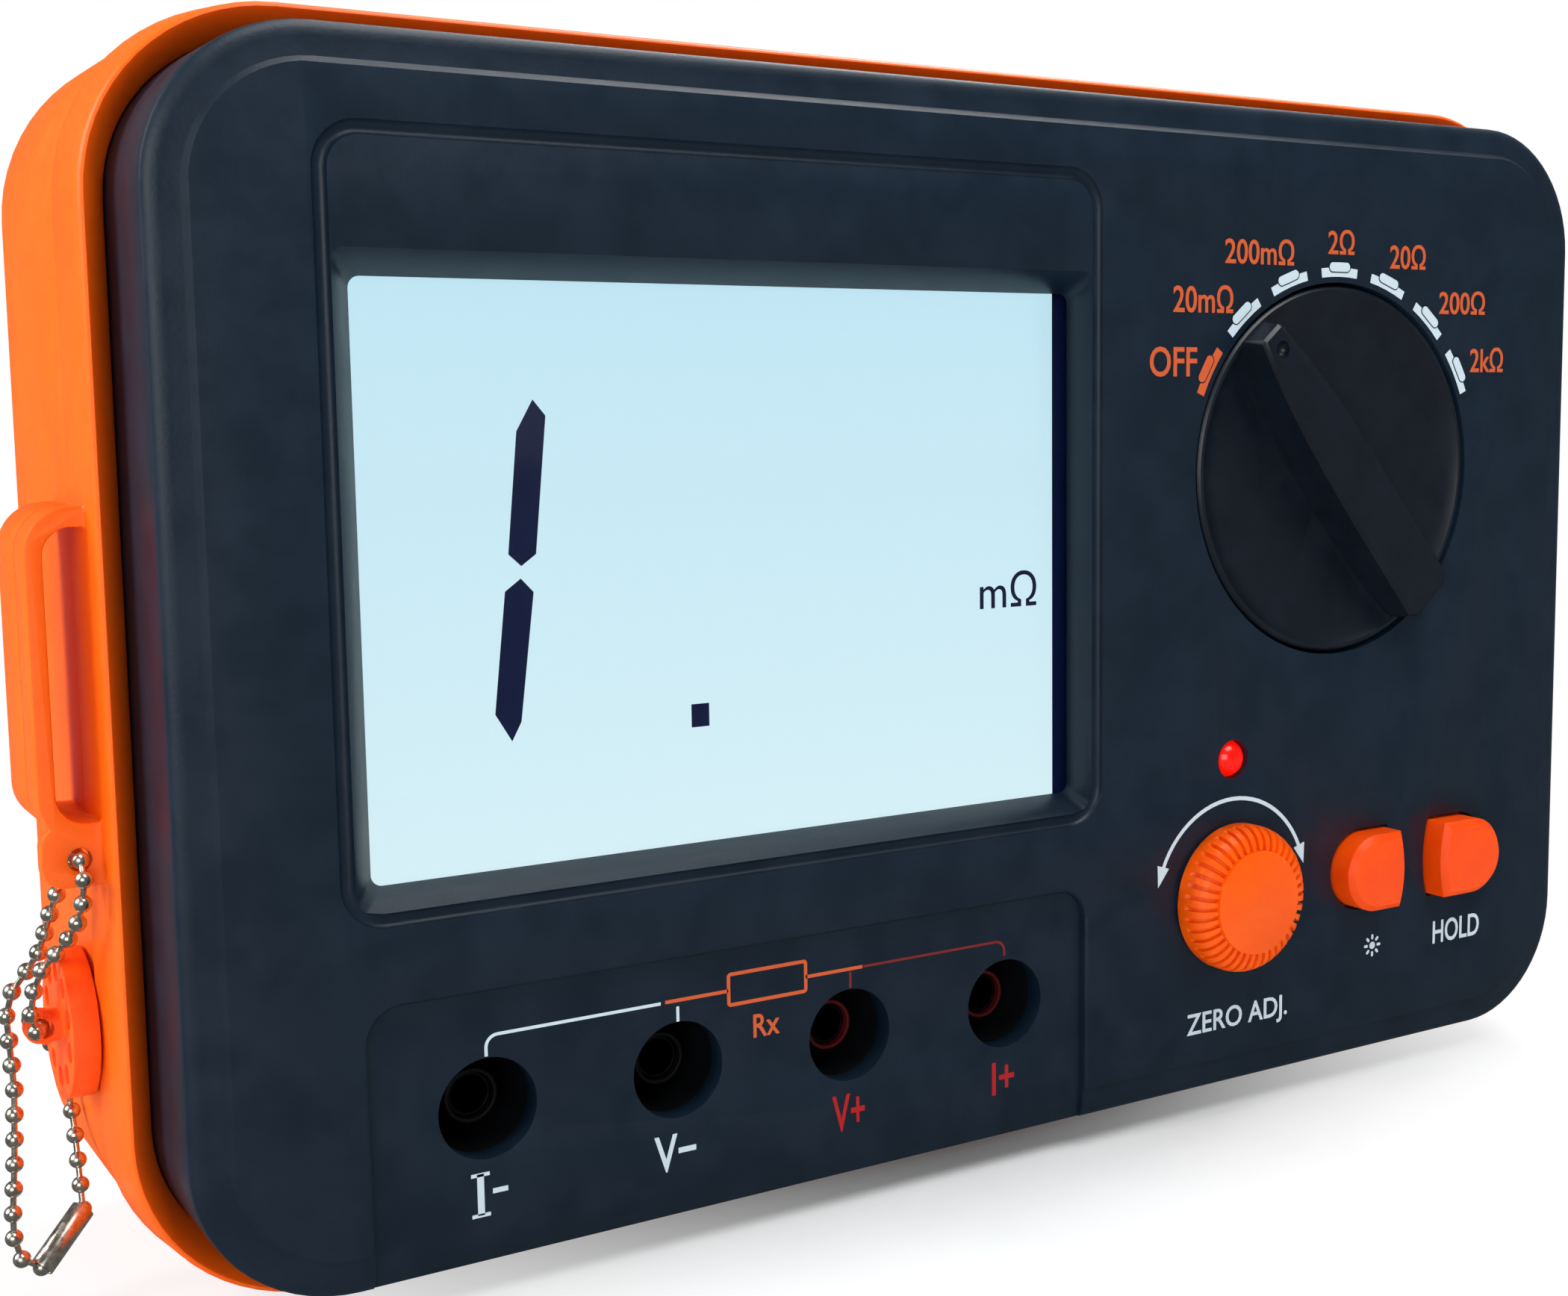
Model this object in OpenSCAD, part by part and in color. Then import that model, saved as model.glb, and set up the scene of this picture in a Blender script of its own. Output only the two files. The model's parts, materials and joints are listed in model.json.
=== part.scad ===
// Portable four-wire micro ohmmeter, standing on its long edge.
// Millimetres, +Z up, the front face looks along -Y, and the origin is at the middle of the base.
// Most pieces are drawn in the face frame: x to the right, y up and z out of the front face,
// so a depth inside the meter is a negative z. stand() turns that frame upright.

/* [Case] */
// Width of the dark front case
case_w = 196; // [184:1:220]
// Height of the dark front case
case_h = 126.2; // [120:0.1:150]
// Depth of the whole body from the front face to the back
body_d = 54; // [52:1:70]
// Corner radius of the front case
case_r = 16.4; // [12:0.1:20]
// Width of the rounded shoulder round the front face
shoulder_w = 3.2; // [1:0.1:4]
// Fall of the shoulder
shoulder_d = 1.8; // [0.8:0.1:3]
// Thickness of the front plate
face_t = 2.6; // [1.8:0.1:3]
// Thickness of the front case's side walls
side_t = 2.4; // [1.6:0.1:3]
// Step of the print ground round the sockets
panel_recess = 1.35; // [0.6:0.05:1.6]

/* [Band and rear case] */
// Reach of the band past the front case at the seam
band_out = 4; // [3:0.1:6]
// Reach of the band at its front edge
band_front_out = 3.2; // [2:0.1:4]
// Depth of the band's front edge
band_front_d = 11.3; // [9:0.1:13]
// Depth at which the band's front slope meets the front case
band_root_d = 15.4; // [13.5:0.1:17]
// Depth of the seam between the band and the rear case
seam_d = 19.9; // [18:0.1:22]
// Step in from the band to the rear case
rear_step = 0.4; // [0.2:0.1:1]
// Radius of the rear case's back edges
back_r = 5.7; // [3:0.1:8]
// Thickness of the back wall
back_t = 3; // [2:0.1:4]
// Length of the front case's tongue inside the rear case
tongue_l = 1.3; // [0.8:0.1:1.5]

/* [Strap lugs and tab] */
// Reach of a strap lug past the front case
lug_out = 9.3; // [8:0.1:12]
// Lower end of a lug above the base
lug_z0 = 51; // [46:0.5:56]
// Length of a lug
lug_h = 33.2; // [26:0.2:40]
// Depth of a lug's front face
lug_front_d = 14.5; // [12:0.1:16]
// Depth of a lug's rear face
lug_back_d = 28.4; // [24:0.1:32]
// Thickness of a lug's outer bar
lug_bar = 1.7; // [1.4:0.1:2.4]
// Thickness of a lug's end bars
lug_end = 2; // [1.6:0.1:3]
// Outer corner radius of a lug
lug_r = 4.5; // [3:0.1:6]
// Drop of the chain tab below the lug
tab_drop = 4.4; // [4:0.1:6]
// Thickness of the chain tab
tab_t = 2; // [1.4:0.1:3]
// Diameter of the hole in the chain tab
tab_hole_d = 2.2; // [2:0.1:2.6]

/* [Display] */
// Left edge of the window from the middle of the case
win_x0 = -77.2; // [-79:0.1:-74]
// Lower edge of the window above the base
win_z0 = 45.4; // [44:0.1:48]
// Width of the window
win_w = 88.1; // [80:0.1:89]
// Height of the window
win_h = 60.5; // [54:0.1:62]
// Depth of the window below the front face
win_d = 4.6; // [3.6:0.1:5.2]
// Corner radius of the window
win_r = 1.2; // [0.8:0.1:2]
// Flare of the window's left side
flare_left = 3.7; // [2:0.1:4]
// Flare of the window's right side
flare_right = 0.5; // [0.2:0.1:1]
// Flare of the window's foot
flare_foot = 2.2; // [1:0.1:2.4]
// Flare of the window's head
flare_head = 3; // [2:0.1:4]
// Height of the bare band above the window
header_h = 10.6; // [8:0.1:11]
// Width of the groove round the display field
groove_w = 1.6; // [1:0.1:2]
// Corner radius of the groove
groove_r = 4; // [3:0.1:5]
// Thickness of the window lens
lens_t = 1.4; // [1:0.1:2]
// Thickness of the display glass
glass_t = 2.8; // [2:0.1:3.4]
// Thickness of the backlight
light_t = 3; // [2:0.1:3.5]

/* [Range dial] */
// Dial centre from the middle of the case
dial_x = 52.2; // [50:0.1:54]
// Dial centre above the base
dial_z = 84.2; // [82:0.1:88]
// Diameter of the dial
dial_d = 47.8; // [42:0.1:50]
// Gap between the dial and its well
dial_gap = 0.5; // [0.3:0.1:0.8]
// Depth of the dish in the dial
dish_d = 2.6; // [2:0.1:3.4]
// Height of the handle above the front face
handle_h = 3.5; // [2.5:0.1:6]
// Width of the handle at its belly
handle_w = 8.8; // [7:0.1:10]
// Width of the handle at its tip
tip_w = 4; // [3:0.1:5]
// Turn of the handle from straight up, to the left
dial_rest = 40; // [0:20:60]
// Diameter of the dial's shaft
dial_shaft_d = 6; // [5:0.1:6.4]

/* [Zero knob] */
// Knob centre from the middle of the case
zero_x = 34.6; // [33:0.1:36]
// Knob centre above the base
zero_z = 29.4; // [28:0.1:31]
// Diameter of the knob
zero_d = 19.2; // [17:0.1:21]
// Height of the knob
zero_h = 5.2; // [4.6:0.1:8]
// Number of grip flutes
flutes = 40; // [24:2:48]
// Depth of a grip flute
flute_d = 0.5; // [0.2:0.05:0.6]
// Width of a grip flute
flute_w = 0.55; // [0.4:0.05:0.8]
// Diameter of the knob's shaft
pot_shaft_d = 4; // [3:0.1:4.4]

/* [Buttons and lamp] */
// Left end of the light button from the middle of the case
light_x = 52.6; // [51:0.1:54]
// Length of the light button
light_l = 10.6; // [10:0.1:12]
// Left end of the hold button
hold_x = 70.3; // [69:0.1:71]
// Length of the hold button
hold_l = 11.7; // [11:0.1:12.5]
// Middle of both buttons above the base
key_z = 29.8; // [29:0.1:31]
// Height of both buttons
key_w = 10.5; // [9:0.1:11]
// Reach of the buttons past the front face
key_out = 3.7; // [2.5:0.1:5]
// Gap round a button
key_gap = 0.4; // [0.3:0.05:0.6]
// Travel of a button
key_travel = 0.8; // [0.4:0.1:1]
// Lamp centre above the base
lamp_z = 47.3; // [46:0.1:49]
// Diameter of the lamp
lamp_d = 5; // [3:0.1:5.4]

/* [Sockets] */
// First socket from the middle of the case
jack_x = -67.4; // [-69:0.1:-66]
// Sockets above the base
jack_z = 20.6; // [19:0.1:22]
// Spacing of the sockets
jack_pitch = 22.15; // [20:0.05:24]
// Diameter of the shroud hole
jack_d = 10.9; // [9:0.1:11.5]
// Bore for the test plug
plug_bore = 4.1; // [4.02:0.02:4.3]
// Outer diameter of the inner tube
tube_d = 6; // [5.8:0.1:6.6]
// Set-back of the inner tube below the shroud hole's rim
tube_set = 4.8; // [3:0.1:6]

/* [Charging socket and cap] */
// Socket centre above the base
charge_z = 30.2; // [28:0.1:33]
// Depth of the socket centre below the front face
charge_d = 25.3; // [25:0.1:26]
// Outer diameter of the socket barrel
barrel_d = 7.6; // [7:0.1:7.8]
// Bore of the charging socket
charge_bore = 5.5; // [5:0.1:5.8]
// Diameter of the dust cap
cap_d = 15.6; // [14:0.1:17]
// Thickness of the dust cap
cap_t = 2.6; // [2:0.1:3.4]
// Length of the cap's plug
cap_plug_l = 7; // [5:0.1:8]

/* [Ball chain] */
// Diameter of a ball
ball_d = 1.8; // [1.4:0.1:2]
// Spacing of the balls
ball_pitch = 2.6; // [2.3:0.1:3]
// Diameter of the links between the balls
link_d = 0.6; // [0.5:0.05:0.8]

/* [Battery] */
// Diameter of a cell
cell_d = 14.2; // [13:0.1:14.5]
// Length of a cell
cell_l = 50.5; // [44:0.1:51]
// Rows of cells
cell_rows = 4; // [3:1:4]
// Thickness of the battery door
door_t = 2; // [1.4:0.1:2.4]
// Middle of the battery door above the base
door_z = 66; // [64:0.5:70]

/* [Hidden] */
$fn = 48;

// One overrun for every cut, and the clearance of pieces that are pressed or screwed together
over = 1;
seat = 0.05;
// Running clearance of a shaft or plunger in its bore
run = 0.05;

// Case
mid_z = band_out + case_h / 2;
case_end = seam_d + tongue_l;
inner_r = case_r - side_t;
rear_out = band_out - rear_step;
rail_l = case_w / 5;
rail_x = case_w / 4;

// Window, its flare and the display stack behind it
win_x1 = win_x0 + win_w;
win_z1 = win_z0 + win_h;
lens_lap = 1.6;
frame_wall = 1.6;
lens_gap = 0.2;
stack_out = lens_lap + lens_gap + frame_wall;
field_x0 = win_x0 - flare_left;
field_x1 = win_x1 + flare_right;
field_z0 = win_z0 - flare_foot;
field_z1 = win_z1 + flare_head + header_h;
groove_share = 0.385;
groove_d = groove_w * groove_share;
glass_d = win_d + lens_t;
light_d = glass_d + glass_t;
stack_d = light_d + light_t;
frame_floor = 1;

// Dial
well_r = dial_d / 2 + dial_gap;
rim_round = 0.35;
handle_edge = 0.5;
shaft_end = 3;
well_wall = 2;
dial_t = 6;
hub_l = 2.2;
hub_d = dial_shaft_d * 2;
hub_room = 1.2;
well_d = dial_t + hub_l + hub_room;
rim_land = 0.8;
handle_draft = 0.6;
tail_cut = 1.2;
tip_cut = 0.4;
tail_in = 0.7;
tip_in = 0.8;
handle_tail = dial_d / 2 - tail_in;
handle_tip = dial_d / 2 - tip_in;
handle_steps = 12;
handle_bow = 4;
dimple_d = 2.2;
dimple_in = 3.6;
switch_d = 28;
bush_wall = 1.5;
bush_d = dial_shaft_d + 2 * bush_wall;
shaft_top = 0.4;

// Knob and its potentiometer
knob_lift = 0.4;
knob_cap_share = 0.7;
knob_cap_d = zero_d * knob_cap_share;
knob_step = 0.35;
knob_skirt = 1.8;
flute_foot = 1.2;
cavity_share = 0.78;
cavity_rise_share = 0.5;
cavity_d = zero_d * cavity_share;
cavity_h = zero_h * cavity_rise_share;
knob_skin = 1;
knob_hub_wall = 1;
knob_hub_d = pot_shaft_d + 2 * knob_hub_wall;
pot_bush_wall = 1.4;
pot_bush_d = pot_shaft_d + 2 * pot_bush_wall;
pot_bush_out = 2.2;
pot_d = 17;
pot_h = 8.4;
pot_floor = 2.6;
pot_room = 2;
nut_wall = 1.6;
nut_af = pot_bush_d + 2 * nut_wall;
nut_t = 1.8;

// Buttons and their switches
key_edge = 0.8;
key_bulge_share = 1.7;
flange_t = 1;
flange_w = 0.9;
key_board_d = 12.7;
key_board_t = 1.6;
switch_w = 6;
switch_h = 3.5;
plunger_d = 3.4;
plunger_spare = 0.3;
plunger_out = key_travel + plunger_spare;
stem_d = 4.4;
plunger_top = key_board_d - switch_h - plunger_out;
switch_floor = 0.8;
lamp_out = 0.6;
lead_d = 0.6;
lamp_flange = 0.4;

// Boards
board_d = 27;
board_t = 1.6;
board_side = 0.5;
board_end = 6.7;
board_r = 1;
post_d = 6;
post_gap = 1.2;
post_drop = 3;
post_clear = 1;
pilot_d = 2;
screw_d = 2.4;
head_d = 4.4;
head_t = 1.6;

// Sockets
cup_wall = 1.15;
cup_floor = 2;
sleeve_wall = 0.42;
sleeve_set = 0.7;
pin_d = 1.6;
jack_top = panel_recess + face_t;
sleeve_d = plug_bore + 2 * sleeve_wall;
sleeve_top = panel_recess + tube_set + sleeve_set;
sleeve_floor = 1.5;

// Case screws
case_post_d = 8;
case_head_d = 6;
case_head_t = 2.4;
case_post_in = 12.5;
case_pilot = 2.5;
case_shank_d = case_pilot - 2 * seat;
case_bite = 12;
boss_floor = 6;
boss_wall = 2;
boss_d = case_head_d + 2 * boss_wall;
drive_d = 1.6;
drive_l = 1.2;

// Main board, which fits between the screw bosses
board_w = case_w - 2 * (case_post_in + boss_d / 2 + board_side);
board_h = case_h - 2 * (side_t + board_end);

// Battery bay
cell_gap = 0.7;
tray_wall = 1.4;
door_gap = 0.25;
tray_w = 2 * (cell_l + cell_gap) + 3 * tray_wall;
tray_h = cell_rows * (cell_d + cell_gap) + 2 * tray_wall;
tray_back = body_d - door_t - door_gap;
tray_d = cell_d + cell_gap + tray_wall;
cell_axis_d = tray_back - (cell_d + cell_gap) / 2;
cell_nub = 1;
nub_share = 0.38;
door_lip = 3;
door_side = 9;
door_w = tray_w + 2 * door_side;
door_h = tray_h + 2 * door_lip;
door_r = 4;
door_screw_x = tray_w / 2 + door_side / 2;
door_boss_d = door_side - door_lip;
door_boss_l = 7;
door_head_d = 4.4;
door_head_t = 1.1;
slot_w = 0.7;
cell_places = [for (sx = [-1, 1], k = [0:cell_rows - 1])
    [sx * (tray_w / 4 - tray_wall / 4), door_z + (k - (cell_rows - 1) / 2) * (cell_d + cell_gap)]];

// Charging socket and cap
side_x = -(case_w / 2 + rear_out);
cap_seat = 1;
cap_run = 0.1;
cap_in = side_x - rear_step - cap_run;
cap_face = cap_in - cap_t;
grips = 10;
grip_d = 2.2;
charge_floor = 2;
nut_x = -case_w / 2;
socket_in = 14;
pin_r = 1;
nut_charge_af = barrel_d + 2 * nut_wall;
nut_charge_t = 2.2;
eye_t = 1.2;
eye_w = 3.4;
eye_hole_d = 2.2;
eye_x = cap_face - eye_w / 2;

// Chain links reach into the balls, to this share of a ball's diameter from its centre
link_share = 0.35;

// Chain coupling
coupling_d = 2.5;
coupling_lap = 0.1;

// Turns the face frame upright: x stays, y becomes up, z comes out of the front
module stand() translate([0, -body_d / 2, 0]) rotate([90, 0, 0]) children();

// Sweeps a section round a rounded rectangle of w by h with corner radius r. The section's x
// is measured outwards from the corner centres, and its y is the height.
module sweep(w, h, r) {
    for (k = [0:3]) {
        long = (k % 2 == 0) ? h / 2 - r : w / 2 - r;
        reach = (k % 2 == 0) ? w / 2 - r : h / 2 - r;
        rotate([0, 0, 90 * k]) translate([reach, long, 0]) {
            rotate([90, 0, 0]) linear_extrude(2 * long) children();
            rotate_extrude(angle = 90) children();
        }
    }
}

// A rounded rectangle in the plane
module rounded(w, h, r) {
    square([w - 2 * r, h], center = true);
    square([w, h - 2 * r], center = true);
    for (sx = [-1, 1], sy = [-1, 1]) translate([sx * (w / 2 - r), sy * (h / 2 - r)]) circle(r);
}

// The same, given by two opposite corners
module rounded_box(x0, y0, x1, y1, r)
    translate([(x0 + x1) / 2, (y0 + y1) / 2]) rounded(x1 - x0, y1 - y0, r);

// A cylinder along z from height a to height b
module rod(d, a, b) translate([0, 0, min(a, b)]) cylinder(h = abs(b - a), d = d);

// A cylinder along x from a to b
module rod_x(d, a, b) translate([min(a, b), 0, 0]) rotate([0, 90, 0]) cylinder(h = abs(b - a), d = d);

// Places that several pieces share
case_posts = [for (sx = [-1, 1], sy = [-1, 1])
    [sx * (case_w / 2 - case_post_in), mid_z + sy * (case_h / 2 - case_post_in)]];
post_off = post_d / 2 + post_gap;
board_posts = [
    [win_x0 + post_off, field_z0 - post_off - post_drop],
    [win_x0 + post_off, win_z1 + stack_out + post_off],
    [win_x1 + stack_out + post_off - post_clear, field_z0 - post_off - post_drop],
    [win_x1 + stack_out + post_off, win_z1 + stack_out + post_clear],
    [dial_x + well_r, dial_z + well_r + post_d],
];
key_board_x0 = zero_x - pot_d / 2 - post_d / 2;
key_board_x1 = case_w / 2 - case_post_in - case_post_d / 2 - post_clear;
key_board_z0 = zero_z - pot_d / 2 - post_d / 2 - post_clear;
key_board_z1 = lamp_z + post_d / 2;
key_post_x0 = zero_x + pot_d / 2 + post_d / 2;
key_post_x1 = key_board_x1 - post_d / 2 - post_clear;
key_board_posts = [for (x = [key_post_x0, key_post_x1],
    y = [key_board_z0 + post_d / 2, key_board_z1 - post_d / 2 - post_clear]) [x, y]];

// Front case

module case_outer() {
    section = concat(
        [[0, -case_end], [case_r, -case_end]],
        [for (a = [0:15:90])
            [case_r - shoulder_w * (1 - cos(a)), -shoulder_d * (1 - sin(a))]],
        [[0, 0]]
    );
    translate([0, mid_z, 0]) {
        sweep(case_w, case_h, case_r) polygon(section);
        translate([0, 0, -case_end]) linear_extrude(case_end)
            square([case_w - 2 * case_r, case_h - 2 * case_r], center = true);
    }
}

module case_cavity() {
    translate([0, mid_z, -case_end - over]) linear_extrude(case_end + over - face_t)
        rounded(case_w - 2 * side_t, case_h - 2 * side_t, inner_r);
}

// The stepped ground of the sockets, which runs out over the lower edge
panel_left = 7.4;
panel_right = 6;
panel_drop = 9.8;
panel_r = 3.6;
panel_x0 = jack_x - jack_d / 2 - panel_left;
panel_x1 = jack_x + 3 * jack_pitch + jack_d / 2 + panel_right;
panel_z1 = field_z0 - panel_drop;
module panel_shape(grow) rounded_box(panel_x0 - grow, -case_h / 4, panel_x1 + grow, panel_z1 + grow,
    panel_r + grow);

module window_cut() {
    hull() {
        translate([0, 0, -win_d - over]) linear_extrude(over)
            rounded_box(win_x0, win_z0, win_x1, win_z1, win_r, $fn = 32);
        translate([0, 0, -win_d]) linear_extrude(seat)
            rounded_box(win_x0, win_z0, win_x1, win_z1, win_r, $fn = 32);
        linear_extrude(seat)
            rounded_box(field_x0, field_z0, field_x1, win_z1 + flare_head, win_r, $fn = 32);
    }
}

module groove_cut() {
    w = field_x1 - field_x0 + groove_w;
    h = field_z1 - field_z0 + groove_w;
    translate([(field_x0 + field_x1) / 2, (field_z0 + field_z1) / 2, 0])
        sweep(w, h, groove_r) translate([groove_r, groove_w / 2 - groove_d]) circle(d = groove_w);
}

// Outline of a button with a round left end and a slightly bowed right end
module key_shape(l, grow) {
    h = key_w + 2 * grow;
    bow = h * key_bulge_share;
    intersection() {
        translate([-grow, 0]) union() {
            translate([h / 2, 0]) circle(d = h);
            translate([h / 2, -h / 2]) square([l + 2 * grow - h / 2, h]);
        }
        translate([l + grow - bow, 0]) circle(r = bow, $fn = 96);
    }
}
module light_place() translate([light_x, key_z, 0]) children();
module hold_place() translate([hold_x + hold_l, key_z, 0]) mirror([1, 0, 0]) children();

module jacks() for (k = [0:3]) translate([jack_x + k * jack_pitch, jack_z, 0]) children();

module front_case() color("#2e2f33") stand() {
    difference() {
        union() {
            difference() {
                case_outer();
                case_cavity();
            }
            // Rim that carries the window lens, pad behind the socket ground and the dial's well
            translate([0, 0, -win_d]) linear_extrude(win_d - face_t + seat)
                rounded_box(win_x0 - stack_out, win_z0 - stack_out, win_x1 + stack_out,
                    win_z1 + stack_out, win_r);
            intersection() {
                translate([0, 0, -face_t - panel_recess]) linear_extrude(panel_recess + seat)
                    panel_shape(side_t);
                translate([0, mid_z, -case_end]) linear_extrude(case_end)
                    rounded(case_w - 2 * side_t, case_h - 2 * side_t, inner_r);
            }
            translate([dial_x, dial_z, 0]) rod(2 * (well_r + well_wall), -face_t + seat,
                -well_d - well_wall);
            for (p = board_posts) translate([p.x, p.y, 0]) rod(post_d, -face_t + seat, -board_d);
            for (p = key_board_posts) translate([p.x, p.y, 0])
                rod(post_d, -face_t + seat, -key_board_d);
            for (p = case_posts) translate([p.x, p.y, 0])
                rod(case_post_d, -face_t + seat, -board_d);
        }
        window_cut();
        groove_cut();
        translate([0, 0, -panel_recess]) linear_extrude(panel_recess + over) panel_shape(0);
        jacks() rod(jack_d, over, -face_t - panel_recess - over);
        translate([dial_x, dial_z, 0]) {
            rod(2 * well_r, over, -well_d);
            rod(bush_d + 2 * seat, 0, -well_d - well_wall - over);
        }
        translate([zero_x, zero_z, 0]) rod(pot_bush_d + 2 * seat, over, -face_t - over);
        translate([zero_x, lamp_z, 0]) rod(lamp_d + 2 * seat, over, -face_t - over);
        translate([0, 0, -face_t - over]) linear_extrude(face_t + 2 * over) {
            light_place() key_shape(light_l, key_gap);
            hold_place() key_shape(hold_l, key_gap);
        }
        for (p = board_posts) translate([p.x, p.y, 0]) rod(pilot_d, -face_t - over, -board_d - over);
        for (p = key_board_posts) translate([p.x, p.y, 0])
            rod(pilot_d, -face_t - over, -key_board_d - over);
        for (p = case_posts) translate([p.x, p.y, 0])
            rod(case_pilot, -face_t - over, -board_d - over);
        // Notch that clears the nut of the charging socket
        translate([0, charge_z, -charge_d]) rod_x(nut_charge_af / cos(30) + 2 * key_gap,
            -case_w / 2 - over, -case_w / 2 + side_t + over);
    }
}

// Band, rear case and their strap lugs

// One slice of a strap lug between two depths, side 1 for the right and -1 for the left
module lug_slice(side, root, from_d, to_d) {
    x1 = case_w / 2 + lug_out;
    reach = case_w / 2 + root;
    translate([0, 0, -to_d]) linear_extrude(to_d - from_d) scale([side, 1]) difference() {
        rounded_box(reach - lug_r, lug_z0, x1, lug_z0 + lug_h, lug_r);
        rounded_box(reach - 2 * lug_r, lug_z0 + lug_end, x1 - lug_bar, lug_z0 + lug_h - lug_end,
            lug_r - lug_bar);
        translate([0, lug_z0 - over]) square([reach, lug_h + 2 * over]);
    }
}

band_bow = 0.5;
module band_section() polygon([
    [case_r + seat, -band_root_d],
    [case_r + band_front_out - band_bow, -band_front_d],
    [case_r + band_front_out, -band_front_d - band_bow],
    [case_r + band_out, -seam_d],
    [case_r + seat, -seam_d],
]);

tab_hole_out = 1.7;
tab_hole_up = 2.8;
tab_x = case_w / 2 + band_out + tab_hole_out;
tab_hole_z = lug_z0 - tab_drop + tab_hole_up;
tab_r = 2.2;
module chain_tab() difference() {
    translate([0, 0, -lug_front_d - tab_t]) linear_extrude(tab_t) difference() {
        rounded_box(-(case_w / 2 + lug_out), lug_z0 - tab_drop, -(case_w / 2 - lug_r),
            lug_z0 + lug_end, tab_r);
        translate([-(case_w / 2 + band_front_out), lug_z0 - tab_drop - over])
            square([lug_out + lug_r, tab_drop + lug_end + 2 * over]);
    }
    translate([-tab_x, tab_hole_z, 0]) rod(tab_hole_d, 0, -lug_front_d - tab_t - over);
}

module case_band() color("#f2701a") stand() {
    translate([0, mid_z, 0]) sweep(case_w, case_h, case_r) band_section();
    for (side = [-1, 1]) lug_slice(side, band_front_out - seat, lug_front_d, seam_d);
    chain_tab();
}

module rear_solid() {
    w = case_w + 2 * rear_out;
    h = case_h + 2 * rear_out;
    r = case_r + rear_out;
    section = concat(
        [[0, -seam_d], [r, -seam_d]],
        [for (a = [0:15:90]) [r - back_r * (1 - cos(a)), -body_d + back_r * (1 - sin(a))]],
        [[0, -body_d]]
    );
    translate([0, mid_z, 0]) {
        sweep(w, h, r) polygon(section);
        translate([0, 0, -body_d]) linear_extrude(body_d - seam_d)
            square([w - 2 * r, h - 2 * r], center = true);
    }
}

module rear_case() color("#f2701a") stand() difference() {
    union() {
        difference() {
            rear_solid();
            translate([0, mid_z, -body_d + back_t]) linear_extrude(body_d)
                rounded(case_w + 2 * seat, case_h + 2 * seat, case_r + seat);
        }
        for (side = [-1, 1]) lug_slice(side, rear_out - seat, seam_d, lug_back_d);
        // Low rails that stand level with the band's foot
        for (side = [-1, 0, 1]) translate([side * rail_x - rail_l / 2, 0, -body_d + back_r])
            cube([rail_l, rear_step + seat, body_d - back_r - seam_d]);
        for (p = case_posts) translate([p.x, p.y, 0]) rod(boss_d, -board_d, -body_d + back_t - seat);
        for (sx = [-1, 1]) translate([sx * door_screw_x, door_z, 0])
            rod(door_boss_d, -body_d + back_t - seat, -body_d + door_t + door_boss_l);
        // Collar round the battery bay that the tray stands in
        translate([0, door_z, -body_d + back_t - seat]) linear_extrude(tray_d - back_t + door_t)
            rounded(tray_w + 2 * (tray_wall + seat), tray_h + 2 * (tray_wall + seat), tray_wall);
    }
    translate([0, door_z, -body_d - over]) linear_extrude(body_d)
        rounded(tray_w + 2 * seat, tray_h + 2 * seat, tray_wall / 2);
    translate([0, door_z, -body_d - over]) linear_extrude(door_t + over)
        rounded(door_w + 2 * door_gap, door_h + 2 * door_gap, door_r);
    for (sx = [-1, 1]) translate([sx * door_screw_x, door_z, 0])
        rod(pilot_d, -body_d, -body_d + door_t + door_boss_l + over);
    for (p = case_posts) translate([p.x, p.y, 0]) {
        rod(case_shank_d + 4 * seat, 0, -body_d);
        rod(case_head_d + 4 * seat, -board_d - boss_floor, -body_d - over);
    }
    translate([0, charge_z, -charge_d]) rod_x(barrel_d + 2 * seat, side_x - over, -case_w / 2 + over);
}

module case_screws() color("#b9bcc0") stand() for (p = case_posts)
    translate([p.x, p.y, -board_d - boss_floor]) difference() {
        union() {
            rod(case_head_d, 0, -case_head_t);
            rod(case_shank_d, 0, boss_floor + case_bite);
        }
        rod(drive_d, drive_l - case_head_t, -case_head_t - over);
    }

module battery_door() color("#e8661a") stand() difference() {
    translate([0, door_z, -body_d]) linear_extrude(door_t)
        rounded(door_w, door_h, door_r - door_gap);
    for (sx = [-1, 1]) translate([sx * door_screw_x, door_z, 0])
        rod(screw_d + 4 * seat, -body_d + door_t + over, -body_d - over);
}

module door_screws() color("#8f9296") stand()
    for (sx = [-1, 1]) translate([sx * door_screw_x, door_z, 0]) difference() {
        union() {
            rod(door_head_d, -body_d - door_head_t, -body_d);
            rod(pilot_d - 2 * seat, -body_d, -body_d + door_boss_l);
        }
        translate([0, 0, -body_d - door_head_t]) cube([door_head_d + over, slot_w, door_head_t],
            center = true);
    }

// Battery tray with a trough for each cell, open to the back
module battery_tray() color("#232427") stand() difference() {
    translate([0, door_z, -tray_back]) linear_extrude(tray_d)
        rounded(tray_w, tray_h, tray_wall / 2);
    for (p = cell_places) translate([p.x - cell_l / 2 - cell_gap / 2, p.y, -cell_axis_d]) {
        rod_x(cell_d + cell_gap, 0, cell_l + cell_gap);
        translate([0, -(cell_d + cell_gap) / 2, -cell_d]) cube([cell_l + cell_gap, cell_d + cell_gap,
            cell_d]);
    }
}

module battery_cells() color("#3f6f4a") stand() for (p = cell_places)
    translate([p.x, p.y, -cell_axis_d]) {
        rod_x(cell_d, -cell_l / 2, cell_l / 2 - cell_nub);
        rod_x(cell_d * nub_share, cell_l / 2 - cell_nub - seat, cell_l / 2);
    }

// Display: lens, glass, backlight and the frame that clamps them to the front case

module window_shape(grow) rounded_box(win_x0 - grow, win_z0 - grow, win_x1 + grow, win_z1 + grow,
    win_r);

module window_lens() color("#c9d3c8") stand()
    translate([0, 0, -glass_d]) linear_extrude(lens_t) window_shape(lens_lap);

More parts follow.
